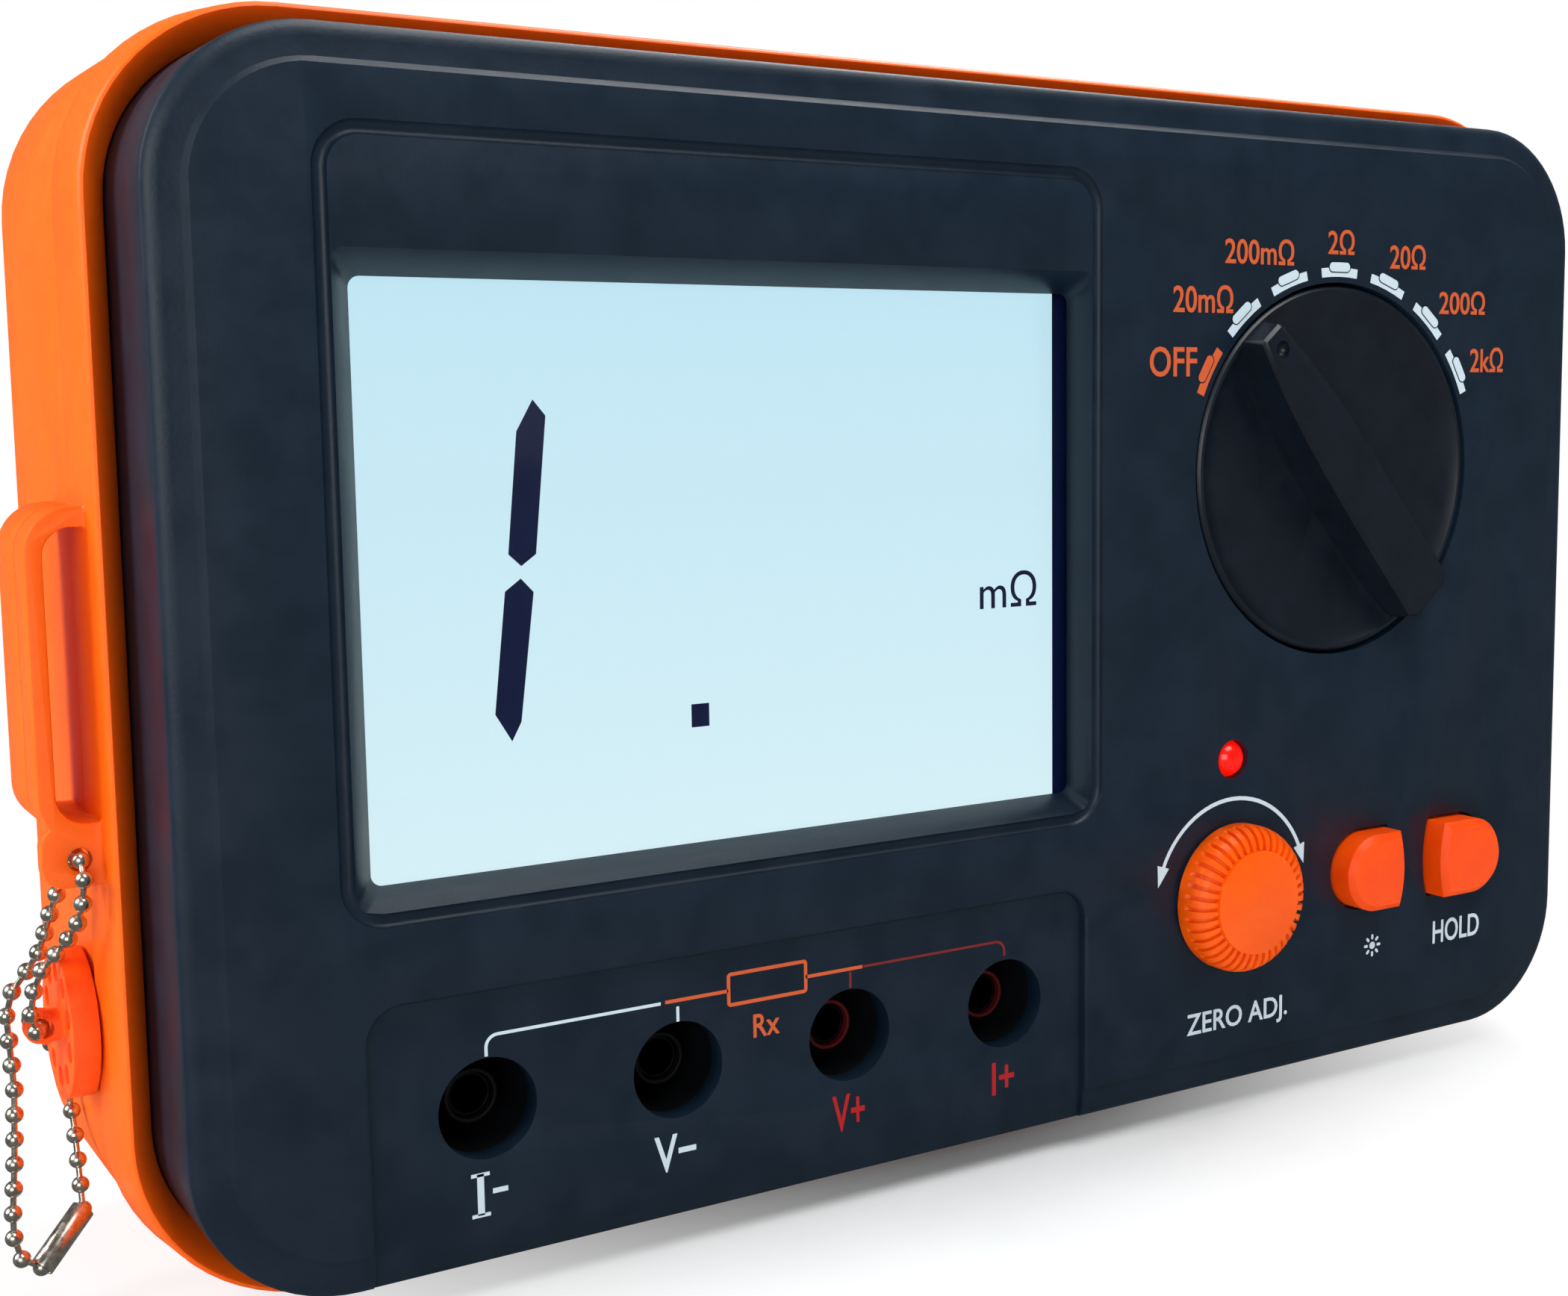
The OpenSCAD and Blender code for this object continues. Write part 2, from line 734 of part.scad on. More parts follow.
module display_glass() color("#b7c2a8") stand()
    translate([0, 0, -light_d]) linear_extrude(glass_t) window_shape(lens_lap);

module display_light() color("#e9e7da") stand()
    translate([0, 0, -stack_d]) linear_extrude(light_t) window_shape(lens_lap);

module display_frame() color("#d8d8d4") stand() difference() {
    translate([0, 0, -stack_d - frame_floor]) linear_extrude(stack_d + frame_floor - win_d)
        window_shape(stack_out);
    translate([0, 0, -stack_d]) linear_extrude(stack_d) window_shape(lens_lap + lens_gap);
}

// Boards

module main_board() color("#2f6b46") stand() difference() {
    translate([0, mid_z, -board_d - board_t]) linear_extrude(board_t)
        square([board_w, board_h], center = true);
    for (p = board_posts) translate([p.x, p.y, 0]) rod(screw_d, -board_d + over,
        -board_d - board_t - over);
    jacks() rod(pin_d + 4 * seat, -board_d + over, -board_d - board_t - over);
}

module screw(from_d) {
    rod(head_d, -from_d - head_t, -from_d);
    rod(pilot_d - 2 * seat, -from_d, -from_d + 3 * head_t);
}

module board_screws() color("#b9bcc0") stand()
    for (p = board_posts) translate([p.x, p.y, 0]) screw(board_d + board_t);

module key_board() color("#2f6b46") stand() difference() {
    translate([0, 0, -key_board_d - key_board_t]) linear_extrude(key_board_t)
        rounded_box(key_board_x0, key_board_z0, key_board_x1, key_board_z1, board_r);
    for (p = key_board_posts) translate([p.x, p.y, 0]) rod(screw_d, -key_board_d + over,
        -key_board_d - key_board_t - over);
    translate([zero_x, zero_z, 0]) rod(pot_d + 2 * pot_room, -key_board_d + over,
        -key_board_d - key_board_t - over);
    for (s = [-1, 1]) translate([zero_x + s * lamp_d / 4, lamp_z, 0])
        rod(lead_d + 4 * seat, -key_board_d + over, -key_board_d - key_board_t - over);
}

module key_board_screws() color("#b9bcc0") stand()
    for (p = key_board_posts) translate([p.x, p.y, 0]) screw(key_board_d + key_board_t);

// Test sockets: an insulating shroud with its inner tube, and the metal sleeve inside it

module shroud(k) stand() translate([jack_x + k * jack_pitch, jack_z, 0]) difference() {
    rod(jack_d + 2 * cup_wall, -jack_top, -board_d);
    difference() {
        rod(jack_d, -jack_top + over, -board_d + cup_floor);
        rod(tube_d, -panel_recess - tube_set, -board_d);
    }
    rod(sleeve_d + 2 * seat, -jack_top + over, -board_d - over);
}

module socket_i_minus() color("#1b1b1d") shroud(0);
module socket_v_minus() color("#1b1b1d") shroud(1);
module socket_v_plus() color("#8e1d1f") shroud(2);
module socket_i_plus() color("#8e1d1f") shroud(3);

module sleeve(k) stand() translate([jack_x + k * jack_pitch, jack_z, 0]) {
    difference() {
        rod(sleeve_d, -sleeve_top, -board_d);
        rod(plug_bore, -sleeve_top + over, -board_d + sleeve_floor);
    }
    rod(pin_d, -board_d + seat, -board_d - board_t - pin_d);
}

module contact_i_minus() color("#d3cba8") sleeve(0);
module contact_v_minus() color("#d3cba8") sleeve(1);
module contact_v_plus() color("#d3cba8") sleeve(2);
module contact_i_plus() color("#d3cba8") sleeve(3);

module indicator_lamp() color("#e3302a") stand() translate([zero_x, lamp_z, 0]) {
    rod(lamp_d, -lamp_d / 2 + lamp_out, -key_board_d);
    translate([0, 0, lamp_out - lamp_d / 2]) sphere(d = lamp_d);
    rod(lamp_d + 2 * lamp_flange, -key_board_d + 2 * lamp_flange, -key_board_d);
    for (s = [-1, 1]) translate([s * lamp_d / 4, 0, 0])
        rod(lead_d, -key_board_d + seat, -key_board_d - key_board_t - 2 * lead_d);
}

// Range switch: dial with its pointer handle, shaft and switch body

// The handle's outline from its tail to its tip, grown by the draft. Its sides run straight from
// the tail and draw in more and more towards the tip.
function handle_half(share) = handle_w / 2 - (handle_w - tip_w) / 2 * pow(share, handle_bow);
module handle_outline(grow) {
    length = handle_tip + handle_tail - tail_cut - tip_cut;
    side = concat(
        [[handle_w / 2 - tail_cut + grow, -handle_tail - grow]],
        [for (k = [0:handle_steps])
            [handle_half(k / handle_steps) + grow, -handle_tail + tail_cut + length * k / handle_steps]],
        [[tip_w / 2 - tip_cut + grow, handle_tip + grow]]
    );
    polygon(concat(side, [for (k = [len(side) - 1:-1:0]) [-side[k].x, side[k].y]]));
}

module dial_handle() hull() {
    translate([0, 0, -dish_d - seat]) linear_extrude(seat) handle_outline(handle_draft);
    translate([0, 0, handle_h - handle_edge]) linear_extrude(seat) handle_outline(0);
    translate([0, 0, handle_h - seat]) linear_extrude(seat) handle_outline(-handle_edge);
}

module turned_dial() translate([dial_x, dial_z, 0]) rotate([0, 0, dial_rest]) children();

module range_dial() color("#2b2c30") stand() turned_dial() {
    dish_r = dial_d / 2 - rim_land;
    section = concat(
        [[0, -dial_t], [dial_d / 2, -dial_t], [dial_d / 2, -rim_round],
            [dial_d / 2 - rim_round, 0], [dish_r, 0]],
        [for (a = [15:15:90]) [dish_r * cos(a), -dish_d * sin(a)]]
    );
    difference() {
        union() {
            rotate_extrude($fn = 96) polygon(section);
            rod(hub_d, -dial_t + seat, -dial_t - hub_l);
            intersection() {
                dial_handle();
                rod(dial_d, handle_h + over, -dial_t);
            }
        }
        rod(dial_shaft_d + 2 * seat, -shaft_top, -dial_t - hub_l - over);
        translate([0, dial_d / 2 - dimple_in, handle_h]) sphere(d = dimple_d);
    }
}

module range_shaft() color("#9a9da1") stand() translate([dial_x, dial_z, 0]) {
    rod(dial_shaft_d, -shaft_top - seat, -board_d + shaft_end);
}

module range_switch() color("#3a3d42") stand() translate([dial_x, dial_z, 0]) difference() {
    union() {
        rod(switch_d, -well_d - well_wall, -board_d);
        rod(bush_d, -well_d, -board_d);
    }
    rod(dial_shaft_d + 2 * run, 0, -board_d + shaft_end - run);
}

// Zero knob: fluted knob, shaft, potentiometer and its nut

// Quarter of an ellipse from the knob's side up to its disc, drawn in by a depth
function knob_shoulder(foot, depth) = [for (a = [0:15:90]) [
    knob_cap_d / 2 + (zero_d / 2 - knob_cap_d / 2 - depth) * cos(a),
    foot + (zero_h - knob_step - foot - depth) * sin(a),
]];

module zero_knob() color("#f4600a") stand() translate([zero_x, zero_z, 0]) difference() {
    union() {
        difference() {
            rotate_extrude($fn = 96) polygon(concat(
                [[0, knob_lift], [zero_d / 2, knob_lift]],
                knob_shoulder(knob_lift + knob_skirt, 0),
                [[0, zero_h - knob_step]]
            ));
            // Grip flutes, which run out near the foot
            for (k = [0:flutes - 1]) rotate([90, 0, k * 360 / flutes])
                translate([0, 0, -flute_w / 2]) linear_extrude(flute_w) polygon(concat(
                    [[zero_d / 2 + over, knob_lift + flute_foot - flute_d]],
                    knob_shoulder(knob_lift + flute_foot + flute_d, flute_d),
                    [[knob_cap_d / 2, zero_h + over], [zero_d / 2 + over, zero_h + over]]
                ));
        }
        rod(knob_cap_d, knob_lift + cavity_h, zero_h);
    }
    difference() {
        rod(cavity_d, 0, knob_lift + cavity_h);
        rod(knob_hub_d, pot_bush_out + key_gap, zero_h);
    }
    rod(pot_shaft_d + 2 * seat, 0, zero_h - knob_skin);
}

module zero_shaft() color("#b9bcc0") stand() translate([zero_x, zero_z, 0])
    rod(pot_shaft_d, zero_h - knob_skin - seat, -face_t - pot_h + pot_floor);

module zero_pot() color("#4a6d8c") stand() translate([zero_x, zero_z, 0]) difference() {
    union() {
        rod(pot_d, -face_t, -face_t - pot_h);
        rod(pot_bush_d, pot_bush_out, -face_t - seat);
    }
    rod(pot_shaft_d + 2 * run, pot_bush_out + over, -face_t - pot_h + pot_floor - run);
}

module zero_nut() color("#c4c7ca") stand() translate([zero_x, zero_z, 0]) difference() {
    cylinder(h = nut_t, d = nut_af / cos(30), $fn = 6);
    rod(pot_bush_d + 2 * seat, -over, nut_t + over);
}

// Buttons: cap with its flange and stem, the switch plunger and the switch

module key_button(l) {
    hull() {
        translate([0, 0, -face_t]) linear_extrude(face_t + key_out - key_edge) key_shape(l, 0);
        translate([0, 0, key_out - seat]) linear_extrude(seat) key_shape(l, -key_edge);
    }
    translate([0, 0, -face_t - run - flange_t]) linear_extrude(flange_t)
        key_shape(l, key_gap + flange_w);
    translate([0, 0, -face_t - run - seat]) linear_extrude(2 * seat + run) key_shape(l, 0);
    translate([l / 2, 0, 0]) rod(stem_d, -face_t, -plunger_top);
}
module key_plunger(l) translate([l / 2, 0, 0]) rod(plunger_d, -plunger_top,
    -key_board_d + switch_floor + key_travel);
module key_switch(l) translate([l / 2, 0, 0]) difference() {
    translate([-switch_w / 2, -switch_w / 2, -key_board_d]) cube([switch_w, switch_w, switch_h]);
    rod(plunger_d + 2 * run, 0, -key_board_d + switch_floor - run);
}

module light_button() color("#f4600a") stand() light_place() key_button(light_l);
module light_plunger() color("#c8b27a") stand() light_place() key_plunger(light_l);
module light_switch() color("#1d1e20") stand() light_place() key_switch(light_l);
module hold_button() color("#f4600a") stand() hold_place() key_button(hold_l);
module hold_plunger() color("#c8b27a") stand() hold_place() key_plunger(hold_l);
module hold_switch() color("#1d1e20") stand() hold_place() key_switch(hold_l);

// Charging socket, its nut and the rubber cap

module at_charge() translate([0, charge_z, -charge_d]) children();

module charge_socket() color("#1d1e20") stand() at_charge() {
    difference() {
        rod_x(barrel_d, side_x, side_x + socket_in);
        rod_x(charge_bore, side_x - over, side_x + socket_in - charge_floor);
    }
    rod_x(2 * pin_r, side_x + charge_floor, side_x + socket_in - charge_floor + seat);
}

module charge_nut() color("#c4c7ca") stand() at_charge() difference() {
    translate([nut_x, 0, 0]) rotate([0, 90, 0])
        cylinder(h = nut_charge_t, d = nut_charge_af / cos(30), $fn = 6);
    rod_x(barrel_d + 2 * seat, nut_x - over, nut_x + nut_charge_t + over);
}

module dust_cap() color("#f58a2c") stand() at_charge() {
    difference() {
        union() {
            rod_x(cap_d, cap_in, cap_face);
            rod_x(barrel_d + 2 * cap_seat, side_x - seat, cap_in - seat);
            rod_x(charge_bore - 2 * cap_run, side_x + cap_plug_l, cap_in - seat);
            // Stub with the eye that the chain runs through
            rod_x(eye_w, eye_x, cap_face + seat);
            translate([eye_x, 0, 0]) rod(eye_w, -eye_t, eye_t);
        }
        rod_x(2 * pin_r + 4 * cap_run, side_x, side_x + cap_plug_l + over);
        for (a = [0:360 / grips:359]) translate([cap_face, 0, 0]) rotate([a, 0, 0])
            translate([0, cap_d / 2 - grip_d, 0]) sphere(d = grip_d);
        translate([eye_x, 0, 0]) rod(eye_hole_d, -eye_w, eye_w);
        // Flats that leave the eye as a thin tab
        for (s = [-1, 1]) translate([eye_x - eye_w, -eye_w, s > 0 ? eye_t / 2 : -eye_w - eye_t / 2])
            cube([eye_w, 2 * eye_w, eye_w]);
    }
}

// Ball chain: a closed loop from the tab's hole to the cap's eye, down behind the cap to the
// coupling and up again to the hole

// Points of the two strands as shares of the drop from the hole to the eye, from the hole:
// x, y and z of the face frame
front_strand_shares = [
    [0, 0, 0.04], [0, -0.03, 0.12], [0, -0.14, 0.13], [-0.01, -0.26, 0.08], [-0.03, -0.37, 0],
    [-0.07, -0.46, -0.09], [-0.12, -0.55, -0.17], [-0.18, -0.64, -0.24], [-0.21, -0.77, -0.29],
    [-0.22, -0.9, -0.32], [-0.18, -1, -0.38],
];
wall_strand_shares = [
    [-0.15, -1, -0.64], [-0.14, -1.02, -0.8], [-0.12, -1.08, -0.94], [-0.03, -1.2, -1.02],
    [0.04, -1.34, -0.98], [0.05, -1.52, -0.86], [0.05, -1.72, -0.77], [0.05, -1.97, -0.7],
    [0.05, -2.12, -0.67],
];
outer_strand_shares = [
    [-0.2, -2.35, -0.54], [-0.28, -2.31, -0.52], [-0.33, -2.22, -0.51], [-0.34, -2.08, -0.51],
    [-0.31, -1.71, -0.51], [-0.29, -1.32, -0.51], [-0.3, -1.08, -0.51], [-0.31, -0.92, -0.51],
    [-0.28, -0.79, -0.5], [-0.21, -0.69, -0.47], [-0.15, -0.57, -0.4], [-0.12, -0.43, -0.32],
    [-0.1, -0.29, -0.23], [-0.06, -0.16, -0.16], [0, -0.06, -0.14], [0, 0, -0.1],
];
hole_place = [-tab_x, tab_hole_z, -lug_front_d - tab_t / 2];
eye_place = [eye_x, charge_z, -charge_d];
chain_drop = hole_place.y - eye_place.y;
function hung(shares) = [for (s = shares) hole_place + chain_drop * s];
first_run = concat(hung(outer_strand_shares), [hole_place], hung(front_strand_shares),
    [eye_place], hung(wall_strand_shares));

// Running length of a path, and the point at a distance along it
function steps(path) = [for (k = [1:len(path) - 1]) norm(path[k] - path[k - 1])];
function total(list, n) = n <= 0 ? 0 : total(list, n - 1) + list[n - 1];
function walk(path, far, k = 1) =
    let (step = norm(path[k] - path[k - 1]))
    (far <= step || k == len(path) - 1)
        ? path[k - 1] + (path[k] - path[k - 1]) * min(1, far / step)
        : walk(path, far - step, k + 1);

run_length = total(steps(first_run), len(first_run) - 1);
ball_count = round(run_length / ball_pitch);
balls = [for (k = [0:ball_count]) walk(first_run, run_length * k / ball_count)];

// A straight rod between two points in space
module bar(a, b, d) {
    v = b - a;
    translate(a) rotate([0, acos(v.z / norm(v)), atan2(v.y, v.x)]) cylinder(h = norm(v), d = d, $fn = 16);
}

module ball_chain() color("#cfcdc8") stand() {
    for (p = balls) translate(p) sphere(d = ball_d, $fn = 24);
    for (k = [1:len(balls) - 1]) {
        along = (balls[k] - balls[k - 1]) / norm(balls[k] - balls[k - 1]);
        bar(balls[k - 1] + along * ball_d * link_share, balls[k] - along * ball_d * link_share, link_d);
    }
}

module chain_coupling() color("#c5c3be") stand() {
    a = balls[0];
    b = balls[len(balls) - 1];
    along = (b - a) / norm(b - a);
    difference() {
        bar(a - along * coupling_lap, b + along * coupling_lap, coupling_d);
        bar(a - along * ball_d * 2, a + along * (ball_d / 2 + seat), ball_d + 4 * seat);
        bar(b + along * ball_d * 2, b - along * (ball_d / 2 + seat), ball_d + 4 * seat);
    }
}

front_case();
case_band();
rear_case();
case_screws();
battery_door();
door_screws();
battery_tray();
battery_cells();
window_lens();
display_glass();
display_light();
display_frame();
main_board();
board_screws();
key_board();
key_board_screws();
socket_i_minus();
socket_v_minus();
socket_v_plus();
socket_i_plus();
contact_i_minus();
contact_v_minus();
contact_v_plus();
contact_i_plus();
indicator_lamp();
range_dial();
range_shaft();
range_switch();
zero_knob();
zero_shaft();
zero_pot();
zero_nut();
light_button();
light_plunger();
light_switch();
hold_button();
hold_plunger();
hold_switch();
charge_socket();
charge_nut();
dust_cap();
ball_chain();
chain_coupling();
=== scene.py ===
"""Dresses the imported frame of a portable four-wire micro ohmmeter: case, print, display, dial, knobs,
sockets, dust cap and ball chain. Lengths are millimetres, and MM turns them to metres for Blender."""

import json
import math

import bmesh
import bpy
from bpy.props import FloatProperty, FloatVectorProperty, PointerProperty
from mathutils import Matrix, Vector

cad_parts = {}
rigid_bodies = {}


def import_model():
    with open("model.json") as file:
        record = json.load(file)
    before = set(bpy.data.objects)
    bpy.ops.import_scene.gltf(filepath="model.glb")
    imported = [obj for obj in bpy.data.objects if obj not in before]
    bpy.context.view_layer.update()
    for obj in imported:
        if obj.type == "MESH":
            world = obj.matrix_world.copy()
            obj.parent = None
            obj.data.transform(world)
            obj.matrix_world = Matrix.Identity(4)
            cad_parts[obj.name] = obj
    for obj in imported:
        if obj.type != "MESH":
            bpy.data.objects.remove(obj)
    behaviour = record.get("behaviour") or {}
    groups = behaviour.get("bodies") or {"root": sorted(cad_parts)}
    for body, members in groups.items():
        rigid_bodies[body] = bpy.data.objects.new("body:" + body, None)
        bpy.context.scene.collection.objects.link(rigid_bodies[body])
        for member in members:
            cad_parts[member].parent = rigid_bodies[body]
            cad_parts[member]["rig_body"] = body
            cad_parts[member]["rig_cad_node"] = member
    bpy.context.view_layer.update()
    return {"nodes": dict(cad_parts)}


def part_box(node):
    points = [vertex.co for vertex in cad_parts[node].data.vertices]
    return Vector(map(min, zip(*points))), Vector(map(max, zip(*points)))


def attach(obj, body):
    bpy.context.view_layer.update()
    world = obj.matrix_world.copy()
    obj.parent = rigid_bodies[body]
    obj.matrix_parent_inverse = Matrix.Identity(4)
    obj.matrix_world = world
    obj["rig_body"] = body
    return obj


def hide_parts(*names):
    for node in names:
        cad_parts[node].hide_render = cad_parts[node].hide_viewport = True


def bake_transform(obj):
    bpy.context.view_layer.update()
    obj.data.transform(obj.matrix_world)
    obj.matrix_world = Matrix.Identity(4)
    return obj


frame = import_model()

bl_info = {
    "name": "Micro ohmmeter",
    "version": (1, 0, 0),
    "blender": (4, 5, 0),
    "location": "View3D > Sidebar > Meter",
    "description": "Builds the visible pieces of a four-wire micro ohmmeter round its packed frame",
    "category": "Add Mesh",
}

MM = 0.001


def linear(code, alpha=1.0):
    """An sRGB hex colour as the linear colour that nodes take."""
    channels = [int(code[k : k + 2], 16) / 255 for k in (1, 3, 5)]
    return tuple(
        c / 12.92 if c <= 0.04045 else ((c + 0.055) / 1.055) ** 2.4 for c in channels
    ) + (alpha,)


# Sizes and colours that a user would change

LENGTH = {"unit": "LENGTH", "min": 0.01 * MM, "max": 1.0 * MM}
SWATCH = {"subtype": "COLOR", "size": 4, "min": 0.0, "max": 1.0}


class MeterSizes(bpy.types.PropertyGroup):
    """Sizes of the dressing."""

    ink: FloatProperty(
        name="Ink", description="Thickness of the printed words and lines", default=0.04 * MM, **LENGTH
    )
    front_edge: FloatProperty(
        name="Front case edges",
        description="Rounding of the dark front case's edges",
        default=0.22 * MM,
        **LENGTH,
    )
    case_edge: FloatProperty(
        name="Orange case edges",
        description="Rounding of the edges of the band and the rear case",
        default=0.3 * MM,
        **LENGTH,
    )
    dial_edge: FloatProperty(
        name="Dial edges", description="Rounding of the range dial's edges", default=0.25 * MM, **LENGTH
    )
    knob_edge: FloatProperty(
        name="Knob edges", description="Rounding of the zero knob's edges", default=0.15 * MM, **LENGTH
    )
    button_edge: FloatProperty(
        name="Button edges", description="Rounding of the buttons' edges", default=0.35 * MM, **LENGTH
    )


class MeterColours(bpy.types.PropertyGroup):
    """Colours of the finishes. A moulded plastic wanders between two shades."""

    case: FloatVectorProperty(
        name="Case", description="Dark front case", default=linear("#0b1c2a"), **SWATCH
    )
    case_second: FloatVectorProperty(
        name="Case, second", description="Its other shade", default=linear("#122231"), **SWATCH
    )
    dial: FloatVectorProperty(
        name="Dial", description="Range dial", default=linear("#07101b"), **SWATCH
    )
    dial_second: FloatVectorProperty(
        name="Dial, second", description="Its other shade", default=linear("#0d1723"), **SWATCH
    )
    orange: FloatVectorProperty(
        name="Orange", description="Band and rear case", default=linear("#ef5d08"), **SWATCH
    )
    orange_second: FloatVectorProperty(
        name="Orange, second", description="Its other shade", default=linear("#f1610a"), **SWATCH
    )
    knob: FloatVectorProperty(
        name="Knob", description="Zero knob", default=linear("#ee5401"), **SWATCH
    )
    knob_second: FloatVectorProperty(
        name="Knob, second", description="Its other shade", default=linear("#f25c02"), **SWATCH
    )
    button: FloatVectorProperty(
        name="Buttons", description="Light and hold buttons", default=linear("#ec4600"), **SWATCH
    )
    button_second: FloatVectorProperty(
        name="Buttons, second", description="Their other shade", default=linear("#f04d00"), **SWATCH
    )
    backlight_foot: FloatVectorProperty(
        name="Backlight, foot", description="Glow at the foot", default=linear("#dff8fe"), **SWATCH
    )
    backlight_head: FloatVectorProperty(
        name="Backlight, head", description="Glow at the head", default=linear("#c2e9f7"), **SWATCH
    )
    lamp: FloatProperty(
        name="Lamp",
        description="Strength of the indicator lamp's glow",
        default=0.85,
        min=0.0,
        max=5.0,
    )


def size(name):
    """A size of the panel in the sidebar, in millimetres."""
    return getattr(bpy.context.scene.meter_sizes, name) / MM


def colours():
    """The colours of the panel in the sidebar."""
    return bpy.context.scene.meter_colours


# Places on the meter, in millimetres

# Depth of the face, of the sunken ground of the sockets and of the display glass
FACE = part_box("front_case")[0].y / MM
PANEL = FACE + 1.35
GLASS = FACE + 6.0

# The front case's corner radius, and the rings of its shoulder as inset and depth, before and after
# the ledge is made
CORNER = 16.4
LEDGE = (
    (3.2, 0.0, 4.1, 0.0),
    (2.37, 0.06, 3.55, 0.55),
    (1.6, 0.24, 1.7, 0.72),
    (0.94, 0.53, 0.94, 0.85),
    (0.43, 0.9, 0.43, 1.08),
)

# The sunken ground as left, foot, right and head; how round its rim is, how high its foot reaches, and
# how far the foot falls back and down
GROUND = (-80.25, 4.1, 10.5, 33.4)
GROUND_RIM = 0.6
GROUND_FOOT = 2.7
GROUND_FALL = (0.4, -0.09)

# Foot and head of the glowing part of the display, and the room between the lens and the glass
GLOW_SPAN = (40.0, 107.0)
LENS_ROOM = 0.15

# The lit digit's two segments, corner by corner
SEGMENTS = {
    "segment_upper": (
        (-58.3, 94.2),
        (-56.9, 92.5),
        (-58.4, 78.0),
        (-60.1, 76.8),
        (-61.5, 78.1),
        (-60.2, 90.9),
    ),
    "segment_lower": (
        (-60.2, 75.5),
        (-58.8, 74.0),
        (-60.6, 60.3),
        (-61.7, 58.3),
        (-63.5, 61.3),
        (-62.0, 74.2),
    ),
}

# The marks of the dial: how many, where the first stands and how far apart they are in degrees, the
# half span and radius of the arc strip, and the radius of the capsule on it
MARK_COUNT = 7
MARK_FIRST = 150
MARK_STEP = 20
STRIP_HALF_SPAN = 7.1
STRIP_RADIUS = 25.73
CAPSULE_RADIUS = 26.37

# The arc over the zero knob: its radius, where it starts and how far it turns in degrees
ARC_RADIUS = 12.75
ARC_START = 157
ARC_TURN = -134

# Middle of the light button's sign, and the radius on which its rays stand
SIGN = (60.3, 18.75)
RAY_RADIUS = 1.2

# Half the width of the sockets' inner tubes, with some room
TUBE_RADIUS = 3.4

# Thickness of small printed shapes and of display segments
FILM = 0.03

# A corner this close to a plane lies on it. Along the face, some more room is left
NEAR = 0.01
ROOM = 0.05


# The stage, in metres

# Distance over which the paper goes over to white, its light to glossy rays, and the world's light
PAPER_FADE = 0.13
PAPER_GLOSS = 0.16
WORLD_LIGHT = 0.14

# Lamps as name, place, width and power, and the place that they look at
LAMPS = (
    ("key", (-1.0, 0.2, 0.6), 0.6, 13),
    ("fill", (-0.8, -1.1, 0.3), 0.8, 7.5),
    ("top", (0.1, -0.4, 0.95), 0.6, 6.4),
    ("rim", (0.45, 0.2, 0.9), 0.5, 10),
)
LAMP_AIM = (0, 0, 0.07)

# The camera: its place, the way its right side and its head look, and its lens
CAMERA_PLACE = (-0.14438, -0.22541, 0.09368)
CAMERA_RIGHT = (0.8368, -0.5474, -0.0085)
CAMERA_UP = (0.0702, 0.0919, 0.9933)
CAMERA_LENS = 47.51
CAMERA_SHIFT = (-0.0817, -0.0042)


# Materials


def node(tree, kind, values=None, links=None, **settings):
    """Adds a node with its settings, its input values and its incoming links."""
    made = tree.nodes.new(kind)
    for key, value in settings.items():
        setattr(made, key, value)
    for key, value in (values or {}).items():
        made.inputs[key].default_value = value
    for key, source in (links or {}).items():
        tree.links.new(source, made.inputs[key])
    return made


def blank(name, **values):
    """A new material with a Principled shader, as (material, tree, shader, object coordinates)."""
    made = bpy.data.materials.get(name)
    if made:
        bpy.data.materials.remove(made)
    made = bpy.data.materials.new(name)
    made.use_nodes = True
    tree = made.node_tree
    shader = tree.nodes["Principled BSDF"]
    for key, value in values.items():
        shader.inputs[key.replace("_", " ")].default_value = value
    place = node(tree, "ShaderNodeTexCoord")
    return made, tree, shader, place.outputs["Object"]


def ramp(tree, source, first, second):
    """A colour that goes from one shade to another as the source goes from 0 to 1."""
    made = node(tree, "ShaderNodeValToRGB", links={"Fac": source})
    made.color_ramp.elements[0].color = first
    made.color_ramp.elements[1].color = second
    return made


def mottle(tree, shader, place, first, second, size_mm):
    """Colour that wanders between two shades at a real size, as moulded plastic does."""
    noise = node(
        tree,
        "ShaderNodeTexNoise",
        {"Scale": 1 / (size_mm * MM), "Detail": 4.0, "Roughness": 0.6},
        {"Vector": place},
    )
    blend = ramp(tree, noise.outputs["Fac"], first, second)
    blend.color_ramp.elements[0].position = 0.35
    blend.color_ramp.elements[1].position = 0.68
    tree.links.new(blend.outputs["Color"], shader.inputs["Base Color"])
    return noise


def relief(tree, shader, place, size_mm, height_mm, strength):
    """Fine relief of a real grain size and height."""
    noise = node(
        tree,
        "ShaderNodeTexNoise",
        {"Scale": 1 / (size_mm * MM), "Detail": 2.0, "Roughness": 0.5},
        {"Vector": place},
    )
    bump = node(
        tree,
        "ShaderNodeBump",
        {"Strength": strength, "Distance": height_mm * MM},
        {"Height": noise.outputs["Fac"]},
    )
    tree.links.new(bump.outputs["Normal"], shader.inputs["Normal"])


def gloss_range(tree, shader, noise, low, high):
    """Roughness that follows a noise between two values."""
    span = node(
        tree,
        "ShaderNodeMapRange",
        {"From Min": 0.3, "From Max": 0.7, "To Min": low, "To Max": high},
        {"Value": noise.outputs["Fac"]},
    )
    tree.links.new(span.outputs["Result"], shader.inputs["Roughness"])


# Light goes up to 1.5 mm into orange plastic, red the furthest, and comes out redder
DEPTH = {
    "Subsurface_Weight": 0.25,
    "Subsurface_Scale": 1.5 * MM,
    "Subsurface_Radius": (1.0, 0.2, 0.05),
}


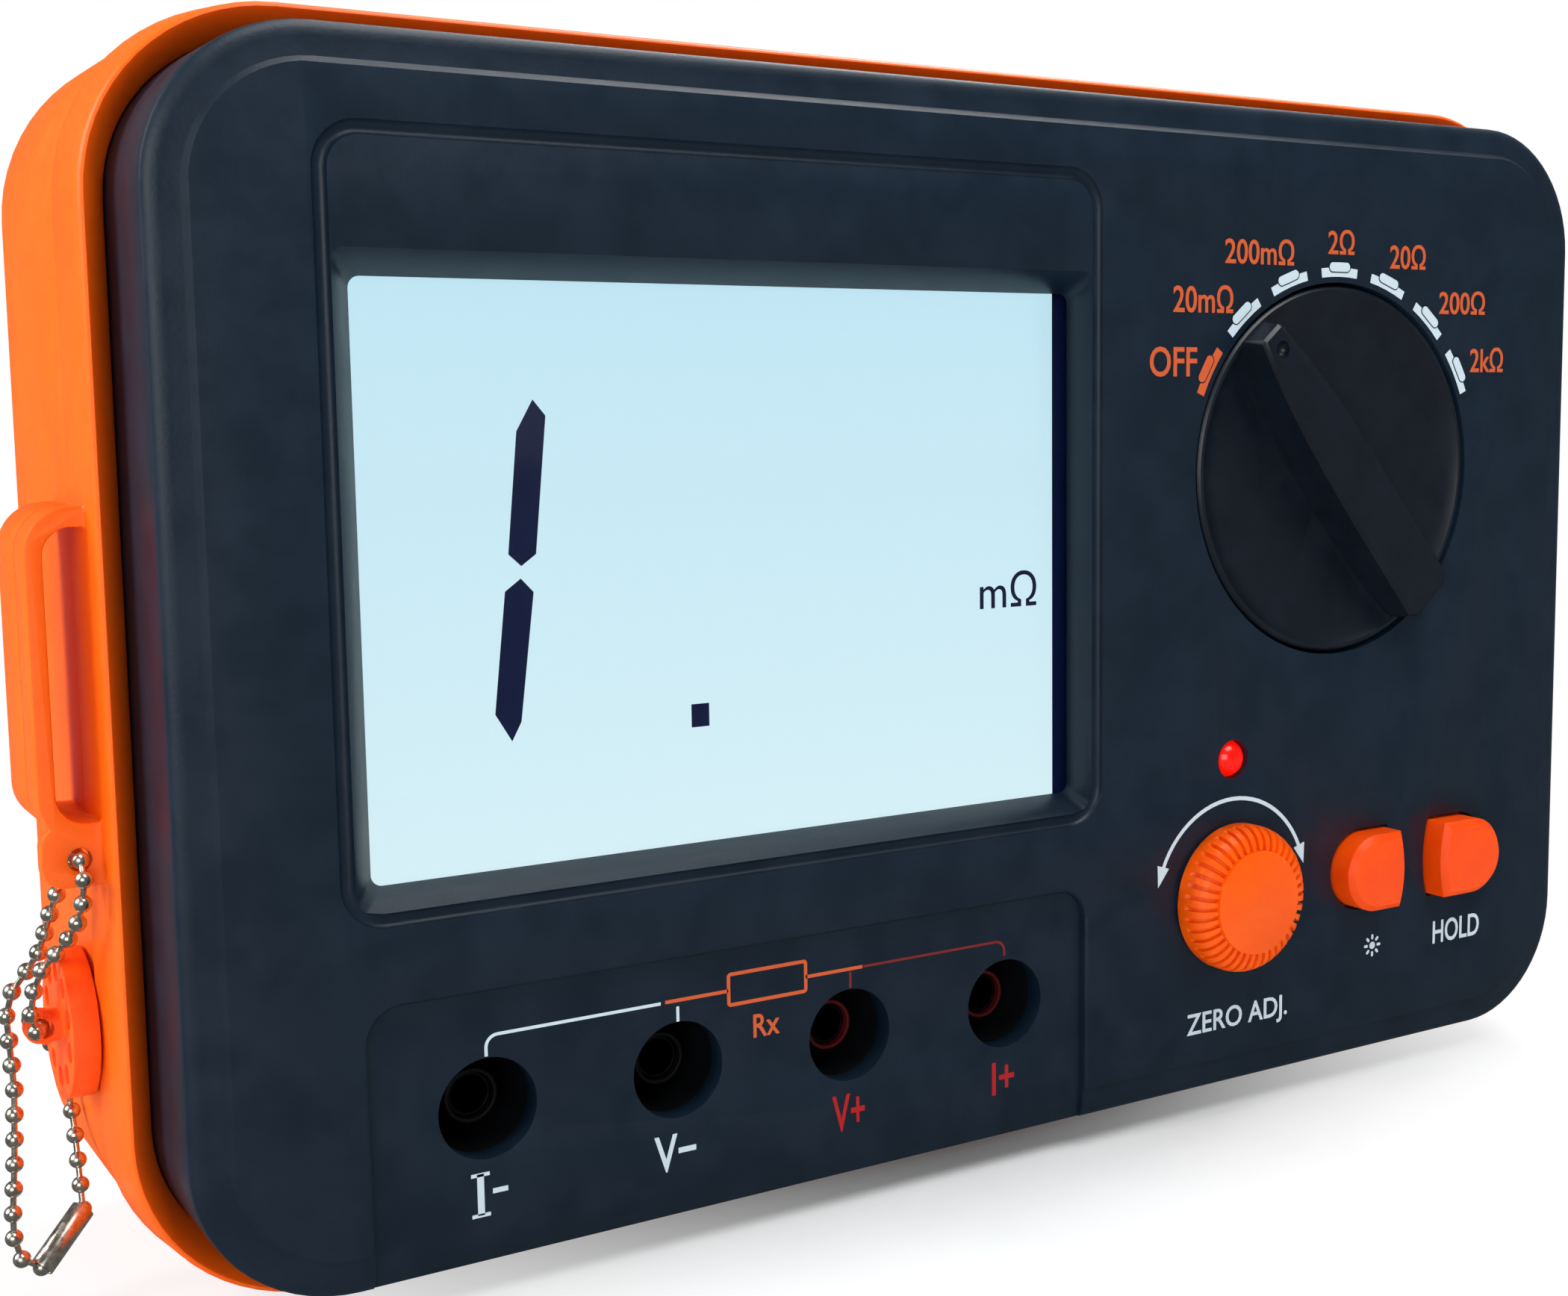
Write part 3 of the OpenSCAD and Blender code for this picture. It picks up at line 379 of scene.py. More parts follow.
def case_abs():
    """ABS moulded against a spark-eroded tool: a fine even grain that scatters every highlight."""
    made, tree, shader, place = blank("Spark-grained ABS", IOR=1.53, Specular_IOR_Level=0.28)
    noise = mottle(tree, shader, place, colours().case, colours().case_second, size_mm=6.0)
    # The grain is about 0.25 mm on the real case and is drawn at 0.45 mm so that it shows
    relief(tree, shader, place, size_mm=0.45, height_mm=0.035, strength=0.55)
    gloss_range(tree, shader, noise, low=0.36, high=0.44)
    return made


def dial_abs():
    """ABS of the dial: the case's grain, only finer, with a soft sheen along its edges."""
    made, tree, shader, place = blank(
        "Fine-grained ABS", Roughness=0.36, IOR=1.53, Specular_IOR_Level=0.4
    )
    mottle(tree, shader, place, colours().dial, colours().dial_second, size_mm=5.0)
    relief(tree, shader, place, size_mm=0.4, height_mm=0.02, strength=0.35)
    return made


def orange_abs():
    """Orange ABS of the band and rear case: satin, slightly uneven in depth of colour."""
    made, tree, shader, place = blank(
        "Satin orange ABS", IOR=1.53, Specular_IOR_Level=0.2, **DEPTH
    )
    noise = mottle(tree, shader, place, colours().orange, colours().orange_second, size_mm=9.0)
    relief(tree, shader, place, size_mm=0.5, height_mm=0.02, strength=0.25)
    gloss_range(tree, shader, noise, low=0.38, high=0.48)
    return made


def knob_abs():
    """Orange ABS of the zero knob and the plungers: smoother and a little redder than the case."""
    made, tree, shader, place = blank(
        "Smooth orange ABS", Roughness=0.36, IOR=1.53, Specular_IOR_Level=0.2, **DEPTH
    )
    mottle(tree, shader, place, colours().knob, colours().knob_second, size_mm=4.0)
    relief(tree, shader, place, size_mm=0.35, height_mm=0.012, strength=0.25)
    return made


def button_abs():
    """Orange ABS of the buttons: a deeper, redder batch than the knob's."""
    made, tree, shader, place = blank(
        "Deep orange ABS", Roughness=0.4, IOR=1.53, Specular_IOR_Level=0.2, **DEPTH
    )
    mottle(tree, shader, place, colours().button, colours().button_second, size_mm=4.0)
    relief(tree, shader, place, size_mm=0.35, height_mm=0.012, strength=0.25)
    return made


def orange_elastomer():
    """Soft elastomer of the dust cap: matt, with the faint bloom that rubber gets."""
    made, tree, shader, place = blank(
        "Moulded elastomer", Roughness=0.55, IOR=1.5, Specular_IOR_Level=0.25, **DEPTH
    )
    mottle(tree, shader, place, linear("#f24c03"), linear("#f65a0a"), size_mm=3.0)
    relief(tree, shader, place, size_mm=0.6, height_mm=0.03, strength=0.35)
    return made


def ink(name, code):
    """Screen-printed ink: flat and matt, and slightly uneven where the grain shows through."""
    made, tree, shader, place = blank(name, Roughness=0.6, Specular_IOR_Level=0.2)
    mottle(tree, shader, place, linear(code), linear(code), size_mm=0.5)
    relief(tree, shader, place, size_mm=0.4, height_mm=0.01, strength=0.3)
    return made


def white_ink():
    """White screen-printed ink."""
    return ink("White screen ink", "#c0cfd8")


def orange_ink():
    """Orange screen-printed ink."""
    return ink("Orange screen ink", "#c4562c")


def red_ink():
    """Red screen-printed ink."""
    return ink("Red screen ink", "#a8161c")


def dull_red_ink():
    """Red screen-printed ink laid thinly, so that the dark plastic dulls it."""
    return ink("Thin red screen ink", "#74201f")


def lit_glass():
    """Backlit liquid crystal glass: an even pale glow that gets a little bluer towards its head."""
    made, tree, shader, place = blank("Backlit liquid crystal glass", Roughness=0.3)
    split = node(tree, "ShaderNodeSeparateXYZ", links={"Vector": place})
    span = node(
        tree,
        "ShaderNodeMapRange",
        {"From Min": GLOW_SPAN[0] * MM, "From Max": GLOW_SPAN[1] * MM},
        {"Value": split.outputs["Z"]},
    )
    glow = ramp(
        tree, span.outputs["Result"], colours().backlight_foot, colours().backlight_head
    )
    tree.links.new(glow.outputs["Color"], shader.inputs["Emission Color"])
    shader.inputs["Emission Strength"].default_value = 0.92
    shader.inputs["Base Color"].default_value = linear("#20303a")
    return made


def segment_film():
    """Switched-on liquid crystal: it blocks the backlight and leaves a navy black."""
    made, tree, shader, place = blank(
        "Switched liquid crystal", Roughness=0.4, Specular_IOR_Level=0.2
    )
    mottle(tree, shader, place, linear("#001038"), linear("#041742"), size_mm=0.8)
    return made


def window_acrylic():
    """Clear moulded acrylic of the window. Its low index stands for the coat that stops reflections."""
    made, tree, shader, place = blank(
        "Clear acrylic", Roughness=0.03, IOR=1.2, Transmission_Weight=1.0
    )
    shader.inputs["Base Color"].default_value = (1, 1, 1, 1)
    relief(tree, shader, place, size_mm=30.0, height_mm=0.01, strength=0.02)
    return made


def nickel():
    """Nickel plate on brass: bright and slightly warm, dulled unevenly by handling."""
    made, tree, shader, place = blank("Nickel plate", Metallic=1.0, Roughness=0.2)
    noise = mottle(tree, shader, place, linear("#b9b4a6"), linear("#dcd8cc"), size_mm=0.8)
    gloss_range(tree, shader, noise, low=0.14, high=0.34)
    return made


def zinc():
    """Zinc-plated steel of screws, nuts and shafts: grey, and here and there duller."""
    made, tree, shader, place = blank("Zinc-plated steel", Metallic=1.0, Roughness=0.35)
    noise = mottle(tree, shader, place, linear("#9a9c9f"), linear("#b9bbbe"), size_mm=0.6)
    gloss_range(tree, shader, noise, low=0.28, high=0.45)
    return made


def socket_metal():
    """Nickel-plated brass of the plug sleeves, painted near black for the shade down in their tubes."""
    made, tree, shader, place = blank("Nickel-plated brass", Metallic=1.0, Roughness=0.3)
    # Both near-black shades are painted shade for the dark deep in the tubes, not the plated metal's
    # own colour
    mottle(tree, shader, place, linear("#1c1b19"), linear("#2b2925"), size_mm=0.7)
    return made


def black_nylon():
    """Black nylon of the shrouds and switches: dull, with faint flow marks."""
    made, tree, shader, place = blank(
        "Black nylon", Roughness=0.45, IOR=1.53, Specular_IOR_Level=0.16
    )
    mottle(tree, shader, place, linear("#06080a"), linear("#0c0e12"), size_mm=3.0)
    relief(tree, shader, place, size_mm=0.5, height_mm=0.015, strength=0.2)
    return made


def red_nylon():
    """Dark red nylon of the inner tubes of the two plus sockets: dull, with faint flow marks."""
    made, tree, shader, place = blank(
        "Dark red nylon", Roughness=0.4, IOR=1.53, Specular_IOR_Level=0.2
    )
    mottle(tree, shader, place, linear("#42070c"), linear("#4e0a0f"), size_mm=3.0)
    relief(tree, shader, place, size_mm=0.5, height_mm=0.015, strength=0.2)
    return made


def grey_nylon():
    """Grey glass-filled nylon of the inner frames: matt and a little cloudy."""
    made, tree, shader, place = blank("Glass-filled nylon", Roughness=0.55, IOR=1.53)
    mottle(tree, shader, place, linear("#85888a"), linear("#9a9d9f"), size_mm=2.0)
    return made


def lamp_epoxy():
    """Diffused red epoxy, lit from inside: its rim glows a little deeper than its middle."""
    made, tree, shader, place = blank("Diffused red epoxy", Roughness=0.2, IOR=1.53)
    mottle(tree, shader, place, linear("#900400"), linear("#a00600"), size_mm=1.5)
    facing = node(tree, "ShaderNodeLayerWeight", {"Blend": 0.35})
    glow = ramp(tree, facing.outputs["Facing"], linear("#ff1000"), linear("#e80600"))
    tree.links.new(glow.outputs["Color"], shader.inputs["Emission Color"])
    shader.inputs["Emission Strength"].default_value = colours().lamp
    return made


def board_laminate():
    """Glass-epoxy laminate under green solder mask, with the weave just showing."""
    made, tree, shader, place = blank("Glass-epoxy laminate", Roughness=0.35, IOR=1.5)
    wave = node(
        tree,
        "ShaderNodeTexWave",
        {"Scale": 300.0, "Distortion": 0.5},
        {"Vector": place},
        bands_direction="DIAGONAL",
    )
    weave = ramp(tree, wave.outputs["Fac"], linear("#1d5a36"), linear("#246a41"))
    tree.links.new(weave.outputs["Color"], shader.inputs["Base Color"])
    return made


def cell_sleeve():
    """Shrink sleeve of the cells: glossy and plain."""
    made, tree, shader, place = blank("Shrink sleeve", Roughness=0.25, IOR=1.5)
    mottle(tree, shader, place, linear("#2f5c3c"), linear("#376a46"), size_mm=8.0)
    return made


def enamel():
    """Enamelled can of the potentiometer: smooth, glossy and blue."""
    made, tree, shader, place = blank("Stoved enamel", Roughness=0.3, IOR=1.5)
    mottle(tree, shader, place, linear("#3a5a78"), linear("#456686"), size_mm=4.0)
    return made


def paper():
    """Pale seamless paper of the floor: matt, and white to the camera away from the meter."""
    made, tree, shader, place = blank("Seamless paper", Roughness=0.9)
    mottle(tree, shader, place, linear("#eceff0"), linear("#f3f5f6"), size_mm=40.0)
    # Away from the meter the paper glows to the camera alone, so that it meets the white backdrop
    reach = node(tree, "ShaderNodeVectorMath", {}, {0: place}, operation="LENGTH")
    span = node(
        tree,
        "ShaderNodeMapRange",
        {"From Min": 0.0, "From Max": PAPER_FADE},
        {"Value": reach.outputs["Value"]},
        interpolation_type="SMOOTHSTEP",
    )
    path = node(tree, "ShaderNodeLightPath")
    share = node(
        tree,
        "ShaderNodeMath",
        links={0: span.outputs["Result"], 1: path.outputs["Is Camera Ray"]},
        operation="MULTIPLY",
    )
    glow = node(tree, "ShaderNodeEmission", {"Color": (1, 1, 1, 1), "Strength": 1.0})
    seen = node(
        tree,
        "ShaderNodeMixShader",
        links={
            "Fac": share.outputs[0],
            1: shader.outputs["BSDF"],
            2: glow.outputs["Emission"],
        },
    )
    # To glossy rays it is a dim grey, as if black flags stood beside the meter
    flag = node(tree, "ShaderNodeEmission", {"Color": (1, 1, 1, 1), "Strength": PAPER_GLOSS})
    ends = node(
        tree,
        "ShaderNodeMixShader",
        links={
            "Fac": path.outputs["Is Glossy Ray"],
            1: seen.outputs["Shader"],
            2: flag.outputs["Emission"],
        },
    )
    tree.links.new(ends.outputs["Shader"], tree.nodes["Material Output"].inputs["Surface"])
    return made


FINISHES = {}


def finish(make):
    """The material that a function makes, made once."""
    if make not in FINISHES:
        FINISHES[make] = make()
    return FINISHES[make]


# Modelling


def clear():
    """Deselects every object, because operators act on all that is selected."""
    if bpy.context.object and bpy.context.object.mode != "OBJECT":
        bpy.ops.object.mode_set(mode="OBJECT")
    bpy.ops.object.select_all(action="DESELECT")


def choose(obj):
    """Selects one object and makes it the active one."""
    clear()
    obj.select_set(True)
    bpy.context.view_layer.objects.active = obj


def edit(obj):
    """Chooses an object and goes into edit mode."""
    choose(obj)
    bpy.ops.object.mode_set(mode="EDIT")


def settle(obj):
    """Moves the object's place, turn and size into its mesh."""
    choose(obj)
    bpy.ops.object.transform_apply(location=True, rotation=True, scale=True)


def round_edges(obj, width_mm):
    """Rounds the edges that turn by more than 30 degrees."""
    choose(obj)
    bevel = obj.modifiers.new("Edges", "BEVEL")
    bevel.width = width_mm * MM
    bevel.segments = 2
    bevel.limit_method = "ANGLE"
    bevel.angle_limit = math.radians(30)
    bevel.use_clamp_overlap = True
    bevel.harden_normals = False
    bpy.ops.object.modifier_apply(modifier=bevel.name)


def smooth(obj):
    """Shades the object smooth but for the edges that turn by more than 35 degrees."""
    choose(obj)
    bpy.ops.object.shade_smooth_by_angle(angle=math.radians(35))


def coat(obj, material):
    """Gives a piece one material."""
    obj.data.materials.clear()
    obj.data.materials.append(finish(material))


def dress(obj, material, body="root", nodes=()):
    """Gives a finished piece its material and its body, and hides the nodes that it stands for."""
    coat(obj, material)
    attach(obj, body)
    if nodes:
        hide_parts(*nodes)


def copied(source, name):
    """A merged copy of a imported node, ready to be worked on."""
    choose(frame["nodes"][source])
    bpy.ops.object.duplicate(linked=False)
    obj = bpy.context.object
    obj.name = name
    obj.data.name = name
    obj.parent = None
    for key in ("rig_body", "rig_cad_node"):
        if key in obj:
            del obj[key]
    choose(obj)
    bpy.ops.mesh.customdata_custom_splitnormals_clear()
    bpy.ops.object.mode_set(mode="EDIT")
    bpy.ops.mesh.select_all(action="SELECT")
    bpy.ops.mesh.remove_doubles(threshold=0.002 * MM)
    bpy.ops.mesh.dissolve_limited(angle_limit=math.radians(0.4))
    bpy.ops.object.mode_set(mode="OBJECT")
    return obj


def pick(obj, test, kind="VERT"):
    """Selects the parts whose middle, in millimetres, passes the test."""
    bpy.ops.mesh.select_mode(type=kind)
    bpy.ops.mesh.select_all(action="DESELECT")
    mesh = bmesh.from_edit_mesh(obj.data)
    for part in {"VERT": mesh.verts, "EDGE": mesh.edges, "FACE": mesh.faces}[kind]:
        corners = [part] if kind == "VERT" else part.verts
        middle = sum((c.co for c in corners), Vector()) / (len(corners) * MM)
        part.select_set(test(middle))
    bmesh.update_edit_mesh(obj.data)


def centre_of(source):
    """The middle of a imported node's box as seen on the face, as x and z."""
    low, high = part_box(source)
    return (low.x + high.x) / 2 / MM, (low.z + high.z) / 2 / MM


def on_circle(centre, radius, angle):
    """The place on a circle round a centre at an angle in degrees."""
    turn = math.radians(angle)
    return centre[0] + radius * math.cos(turn), centre[1] + radius * math.sin(turn)


# Print


def word(text, name, box, material, y=FACE, weight=0.012):
    """A printed word that fills a box (left, foot, right, head). Weight makes its strokes heavier."""
    left, foot, right, head = box
    clear()
    bpy.ops.object.text_add()
    bpy.context.object.name = name
    letters = bpy.context.object.data
    letters.body = text
    letters.size = 1
    letters.offset = weight
    letters.extrude = 0.5
    letters.resolution_u = 4
    bpy.ops.object.convert(target="MESH")
    obj = bpy.context.object
    drawn = obj.dimensions
    # Half of its thickness is sunk in the plastic
    obj.scale = (
        (right - left) * MM / drawn.x,
        (head - foot) * MM / drawn.y,
        2 * size("ink") * MM / drawn.z,
    )
    choose(obj)
    bpy.ops.object.origin_set(type="ORIGIN_GEOMETRY", center="BOUNDS")
    obj.location = Vector(((left + right) / 2, y, (foot + head) / 2)) * MM
    obj.rotation_euler = (math.radians(90), 0, 0)
    settle(obj)
    edit(obj)
    bpy.ops.mesh.select_all(action="SELECT")
    bpy.ops.mesh.remove_doubles(threshold=0.001 * MM)
    bpy.ops.object.mode_set(mode="OBJECT")
    dress(obj, material)


def print_flat(obj, place, y, heading, thickness, material):
    """Gives a flat drawing its thickness and stands it up at its place (x, z) and depth."""
    bpy.ops.mesh.select_all(action="SELECT")
    bpy.ops.mesh.remove_doubles(threshold=0.005 * MM)
    bpy.ops.mesh.extrude_region_move(TRANSFORM_OT_translate={"value": (0, 0, thickness * MM)})
    bpy.ops.mesh.select_all(action="SELECT")
    bpy.ops.mesh.normals_make_consistent(inside=False)
    bpy.ops.object.mode_set(mode="OBJECT")
    obj.location = Vector((place[0], y, place[1])) * MM
    obj.rotation_euler = (math.radians(90), math.radians(-heading), 0)
    settle(obj)
    dress(obj, material)


def trace(name, start, heading, width, moves, material, y=FACE):
    """A printed line. It starts at a place, looks along a heading in degrees and follows its
    moves: ("go", length) or ("turn", degrees, radius)."""
    clear()
    bpy.ops.mesh.primitive_plane_add(size=width * MM)
    obj = bpy.context.object
    obj.name = name
    bpy.ops.object.mode_set(mode="EDIT")
    pick(obj, lambda p: p.x < 0)
    bpy.ops.mesh.delete(type="VERT")
    bpy.ops.mesh.select_all(action="SELECT")
    bpy.ops.transform.translate(value=(-width / 2 * MM, 0, -size("ink") * MM / 2))
    bpy.ops.mesh.select_mode(type="EDGE")
    place = Vector((0, 0, 0))
    course = 0
    for kind, amount, *radius in moves:
        ahead = Vector((math.cos(course), math.sin(course), 0))
        if kind == "go":
            bpy.ops.mesh.extrude_region_move(
                TRANSFORM_OT_translate={"value": ahead * amount * MM}
            )
            place += ahead * amount
        else:
            swing = math.radians(amount)
            left = Vector((-ahead.y, ahead.x, 0)) * math.copysign(radius[0], amount)
            centre = place + left
            # One step for every 5 degrees
            bpy.ops.mesh.spin(
                steps=max(4, int(abs(amount) / 5)),
                angle=-swing,
                center=centre * MM,
                axis=(0, 0, 1),
            )
            place = centre + Matrix.Rotation(swing, 3, "Z") @ -left
            course += swing
    print_flat(obj, start, y, heading, size("ink"), material)


def shape(name, corners, material, y):
    """A printed shape with straight sides: a round blank whose corners go to their places (x, z)."""
    clear()
    bpy.ops.mesh.primitive_circle_add(vertices=len(corners), radius=MM, fill_type="NGON")
    obj = bpy.context.object
    obj.name = name
    round_corners = [v.co.copy() for v in obj.data.vertices]
    # The corners are taken the same way round as those of the blank
    turn = sum(a[0] * b[1] - b[0] * a[1] for a, b in zip(corners, corners[1:] + corners[:1]))
    if (turn > 0) != (round_corners[0].cross(round_corners[1]).z > 0):
        corners = corners[::-1]
    bpy.ops.object.mode_set(mode="EDIT")
    for k, (x, z) in enumerate(corners):
        start = round_corners[k] / MM
        mesh = bmesh.from_edit_mesh(obj.data)
        bpy.ops.mesh.select_mode(type="VERT")
        bpy.ops.mesh.select_all(action="DESELECT")
        mesh.verts.ensure_lookup_table()
        mesh.verts[k].select_set(True)
        bmesh.update_edit_mesh(obj.data)
        bpy.ops.transform.translate(value=Vector((x - start.x, z - start.y, 0)) * MM)
    print_flat(obj, (0, 0), y, 0, FILM, material)


def capsule(name, place, heading, length, width, thickness, material):
    """A bar with round ends, printed on the face, that lies along the heading."""
    clear()
    bpy.ops.mesh.primitive_circle_add(vertices=32, radius=width / 2 * MM, fill_type="NGON")
    obj = bpy.context.object
    obj.name = name
    bpy.ops.object.mode_set(mode="EDIT")
    for side in (1, -1):
        pick(obj, lambda p: p.x * side > 0.001)
        bpy.ops.transform.translate(value=(side * (length - width) / 2 * MM, 0, 0))
    print_flat(obj, place, FACE, heading, thickness, material)


def tile(name, box, material, y):
    """A printed rectangle between two corners (left, foot, right, head)."""
    left, foot, right, head = box
    clear()
    bpy.ops.mesh.primitive_plane_add(size=MM)
    obj = bpy.context.object
    obj.name = name
    bpy.ops.object.mode_set(mode="EDIT")
    bpy.ops.mesh.select_all(action="SELECT")
    bpy.ops.transform.resize(value=(right - left, head - foot, 1))
    print_flat(obj, ((left + right) / 2, (foot + head) / 2), y, 0, FILM, material)


def arrowhead(name, place, heading, length, width, material):
    """A triangle printed on the face, whose point looks along the heading."""
    clear()
    bpy.ops.mesh.primitive_circle_add(vertices=3, radius=MM, fill_type="NGON")
    obj = bpy.context.object
    obj.name = name
    bpy.ops.object.mode_set(mode="EDIT")
    bpy.ops.mesh.select_all(action="SELECT")
    bpy.ops.transform.rotate(
        value=math.radians(90), orient_axis="Z", center_override=(0, 0, 0)
    )
    # The blank triangle is 1.5 mm long and 1.732 mm wide
    bpy.ops.transform.resize(value=(length / 1.5, width / 1.732, 1), center_override=(0, 0, 0))
    print_flat(obj, place, FACE, heading, size("ink"), material)


# Pieces


class METER_OT_inner(bpy.types.Operator):
    """Finishes the inner pieces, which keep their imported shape."""

    bl_idname = "meter.inner"
    bl_label = "Inner pieces"
    bl_options = {"REGISTER", "UNDO"}

    def execute(self, context):
        screws = ("board_screws", "key_board_screws")
        shafts = ("range_shaft", "zero_shaft")
        nuts = ("zero_nut", "charge_nut")
        for material, names in (
            (black_nylon, ("battery_tray", "light_switch", "hold_switch", "charge_socket")),
            (grey_nylon, ("display_frame", "range_switch", "display_light")),
            (board_laminate, ("main_board", "key_board")),
            (cell_sleeve, ("battery_cells",)),
            (enamel, ("zero_pot",)),
            (zinc, (*screws, *shafts, *nuts)),
            (knob_abs, ("light_plunger", "hold_plunger")),
        ):
            for name in names:
                coat(frame["nodes"][name], material)
        return {"FINISHED"}


class METER_OT_case(bpy.types.Operator):
    """Front case, band, rear case and battery door with rounded edges."""

    bl_idname = "meter.case"
    bl_label = "Case"
    bl_options = {"REGISTER", "UNDO"}

    def execute(self, context):
        for source, name, material, slot, width in (
            ("front_case", "case_front", case_abs, "dark_case", size("front_edge")),
            ("case_band", "case_middle", orange_abs, "orange_case", size("case_edge")),
            ("rear_case", "case_rear", orange_abs, "orange_case", size("case_edge")),
            ("battery_door", "door", orange_abs, "orange_case", 0.4),
        ):
            obj = copied(source, name)
            if source == "front_case":
                self.ledge(obj)
                self.sunken_ground(obj)
            round_edges(obj, width)
            smooth(obj)
            dress(obj, material, "root", [source])
        return {"FINISHED"}

    def ledge(self, obj):
        """Turns the inner rim of the shoulder into a low ledge round the face. Each ring of the
        shoulder goes from one inset and depth to another."""
        low, high = (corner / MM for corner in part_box("front_case"))
        centre = (low + high) / 2
        reach_x = (high.x - low.x) / 2 - CORNER
        reach_z = (high.z - low.z) / 2 - CORNER

        def on_ring(p, inset, depth):
            beyond = Vector((abs(p.x - centre.x) - reach_x, abs(p.z - centre.z) - reach_z))
            if min(beyond) >= 0:
                gap = CORNER - beyond.length
            else:
                gap = CORNER - max(beyond)
            return abs(gap - inset) < 0.04 and abs(p.y - low.y - depth) < 0.02

        edit(obj)
        for inset, depth, new_inset, new_depth in LEDGE:
            sink = (new_depth - depth) * MM
            share = (CORNER - new_inset) / (CORNER - inset)
            # The corners shrink round their own middles
            for side_x in (-1, 1):
                for side_z in (-1, 1):
                    middle_x = centre.x + side_x * reach_x
                    middle_z = centre.z + side_z * reach_z
                    pick(
                        obj,
                        lambda p: on_ring(p, inset, depth)
                        and (p.x - middle_x) * side_x > -NEAR
                        and (p.z - middle_z) * side_z > -NEAR,
                    )
                    bpy.ops.transform.translate(value=(0, sink, 0))
                    bpy.ops.transform.resize(
                        value=(share, 1, share),
                        center_override=(middle_x * MM, 0, middle_z * MM),
                    )
            # The foot has more corners between its ends, and they move in with it
            pick(
                obj,
                lambda p: on_ring(p, inset, depth)
                and abs(p.x - centre.x) < reach_x - NEAR
                and p.z < centre.z,
            )
            bpy.ops.transform.translate(value=(0, sink, (new_inset - inset) * MM))
        bpy.ops.object.mode_set(mode="OBJECT")

    def sunken_ground(self, obj):
        """Rounds the rim of the sunken ground and lets its foot fall back."""
        left, foot, right, head = GROUND
        back, down = GROUND_FALL
        edit(obj)
        pick(
            obj,
            lambda p: p.y < FACE + NEAR
            and left - ROOM < p.x < right + ROOM
            and p.z < head + ROOM,
            "EDGE",
        )
        bpy.ops.mesh.bevel(offset=GROUND_RIM * MM, segments=3, affect="EDGES")
        pick(
            obj,
            lambda p: abs(p.y - PANEL) < NEAR and left < p.x < right and p.z < head,
            "FACE",
        )
        bpy.ops.mesh.bisect(plane_co=(0, 0, (foot + GROUND_FOOT) * MM), plane_no=(0, 0, 1))
        pick(obj, lambda p: abs(p.y - PANEL) < NEAR and p.z < foot + 0.2)
        bpy.ops.transform.translate(value=(0, back * MM, down * MM))
        bpy.ops.object.mode_set(mode="OBJECT")


class METER_OT_screws(bpy.types.Operator):
    """Screws of the back."""

    bl_idname = "meter.screws"
    bl_label = "Screws"
    bl_options = {"REGISTER", "UNDO"}

    def execute(self, context):
        for source, name in (("case_screws", "screws_case"), ("door_screws", "screws_door")):
            obj = copied(source, name)
            round_edges(obj, 0.15)
            smooth(obj)
            dress(obj, zinc, "root", [source])
        return {"FINISHED"}


class METER_OT_display(bpy.types.Operator):
    """Window, lit display glass and its segments."""

    bl_idname = "meter.display"
    bl_label = "Display"
    bl_options = {"REGISTER", "UNDO"}

    def execute(self, context):
        glass = copied("display_glass", "lit_display")
        round_edges(glass, 0.1)
        dress(glass, lit_glass, "root", ["display_glass"])
        # The back of the lens leaves room for the segments on the glass
        lens = copied("window_lens", "window")
        edit(lens)
        pick(lens, lambda p: p.y > GLASS - 0.1)
        bpy.ops.transform.translate(value=(0, -LENS_ROOM * MM, 0))
        bpy.ops.object.mode_set(mode="OBJECT")
        dress(lens, window_acrylic, "root", ["window_lens"])
        for name, corners in SEGMENTS.items():
            shape(name, corners, segment_film, GLASS)
        tile("segment_point", (-40.5, 57.8, -38.3, 60.4), segment_film, GLASS)
        tile("display_edge", (9.6, 44.0, 12.4, 107.3), segment_film, GLASS)
        word("mΩ", "display_unit", (-1.3, 68.6, 7.15, 73.0), segment_film, GLASS, weight=0.0)
        return {"FINISHED"}


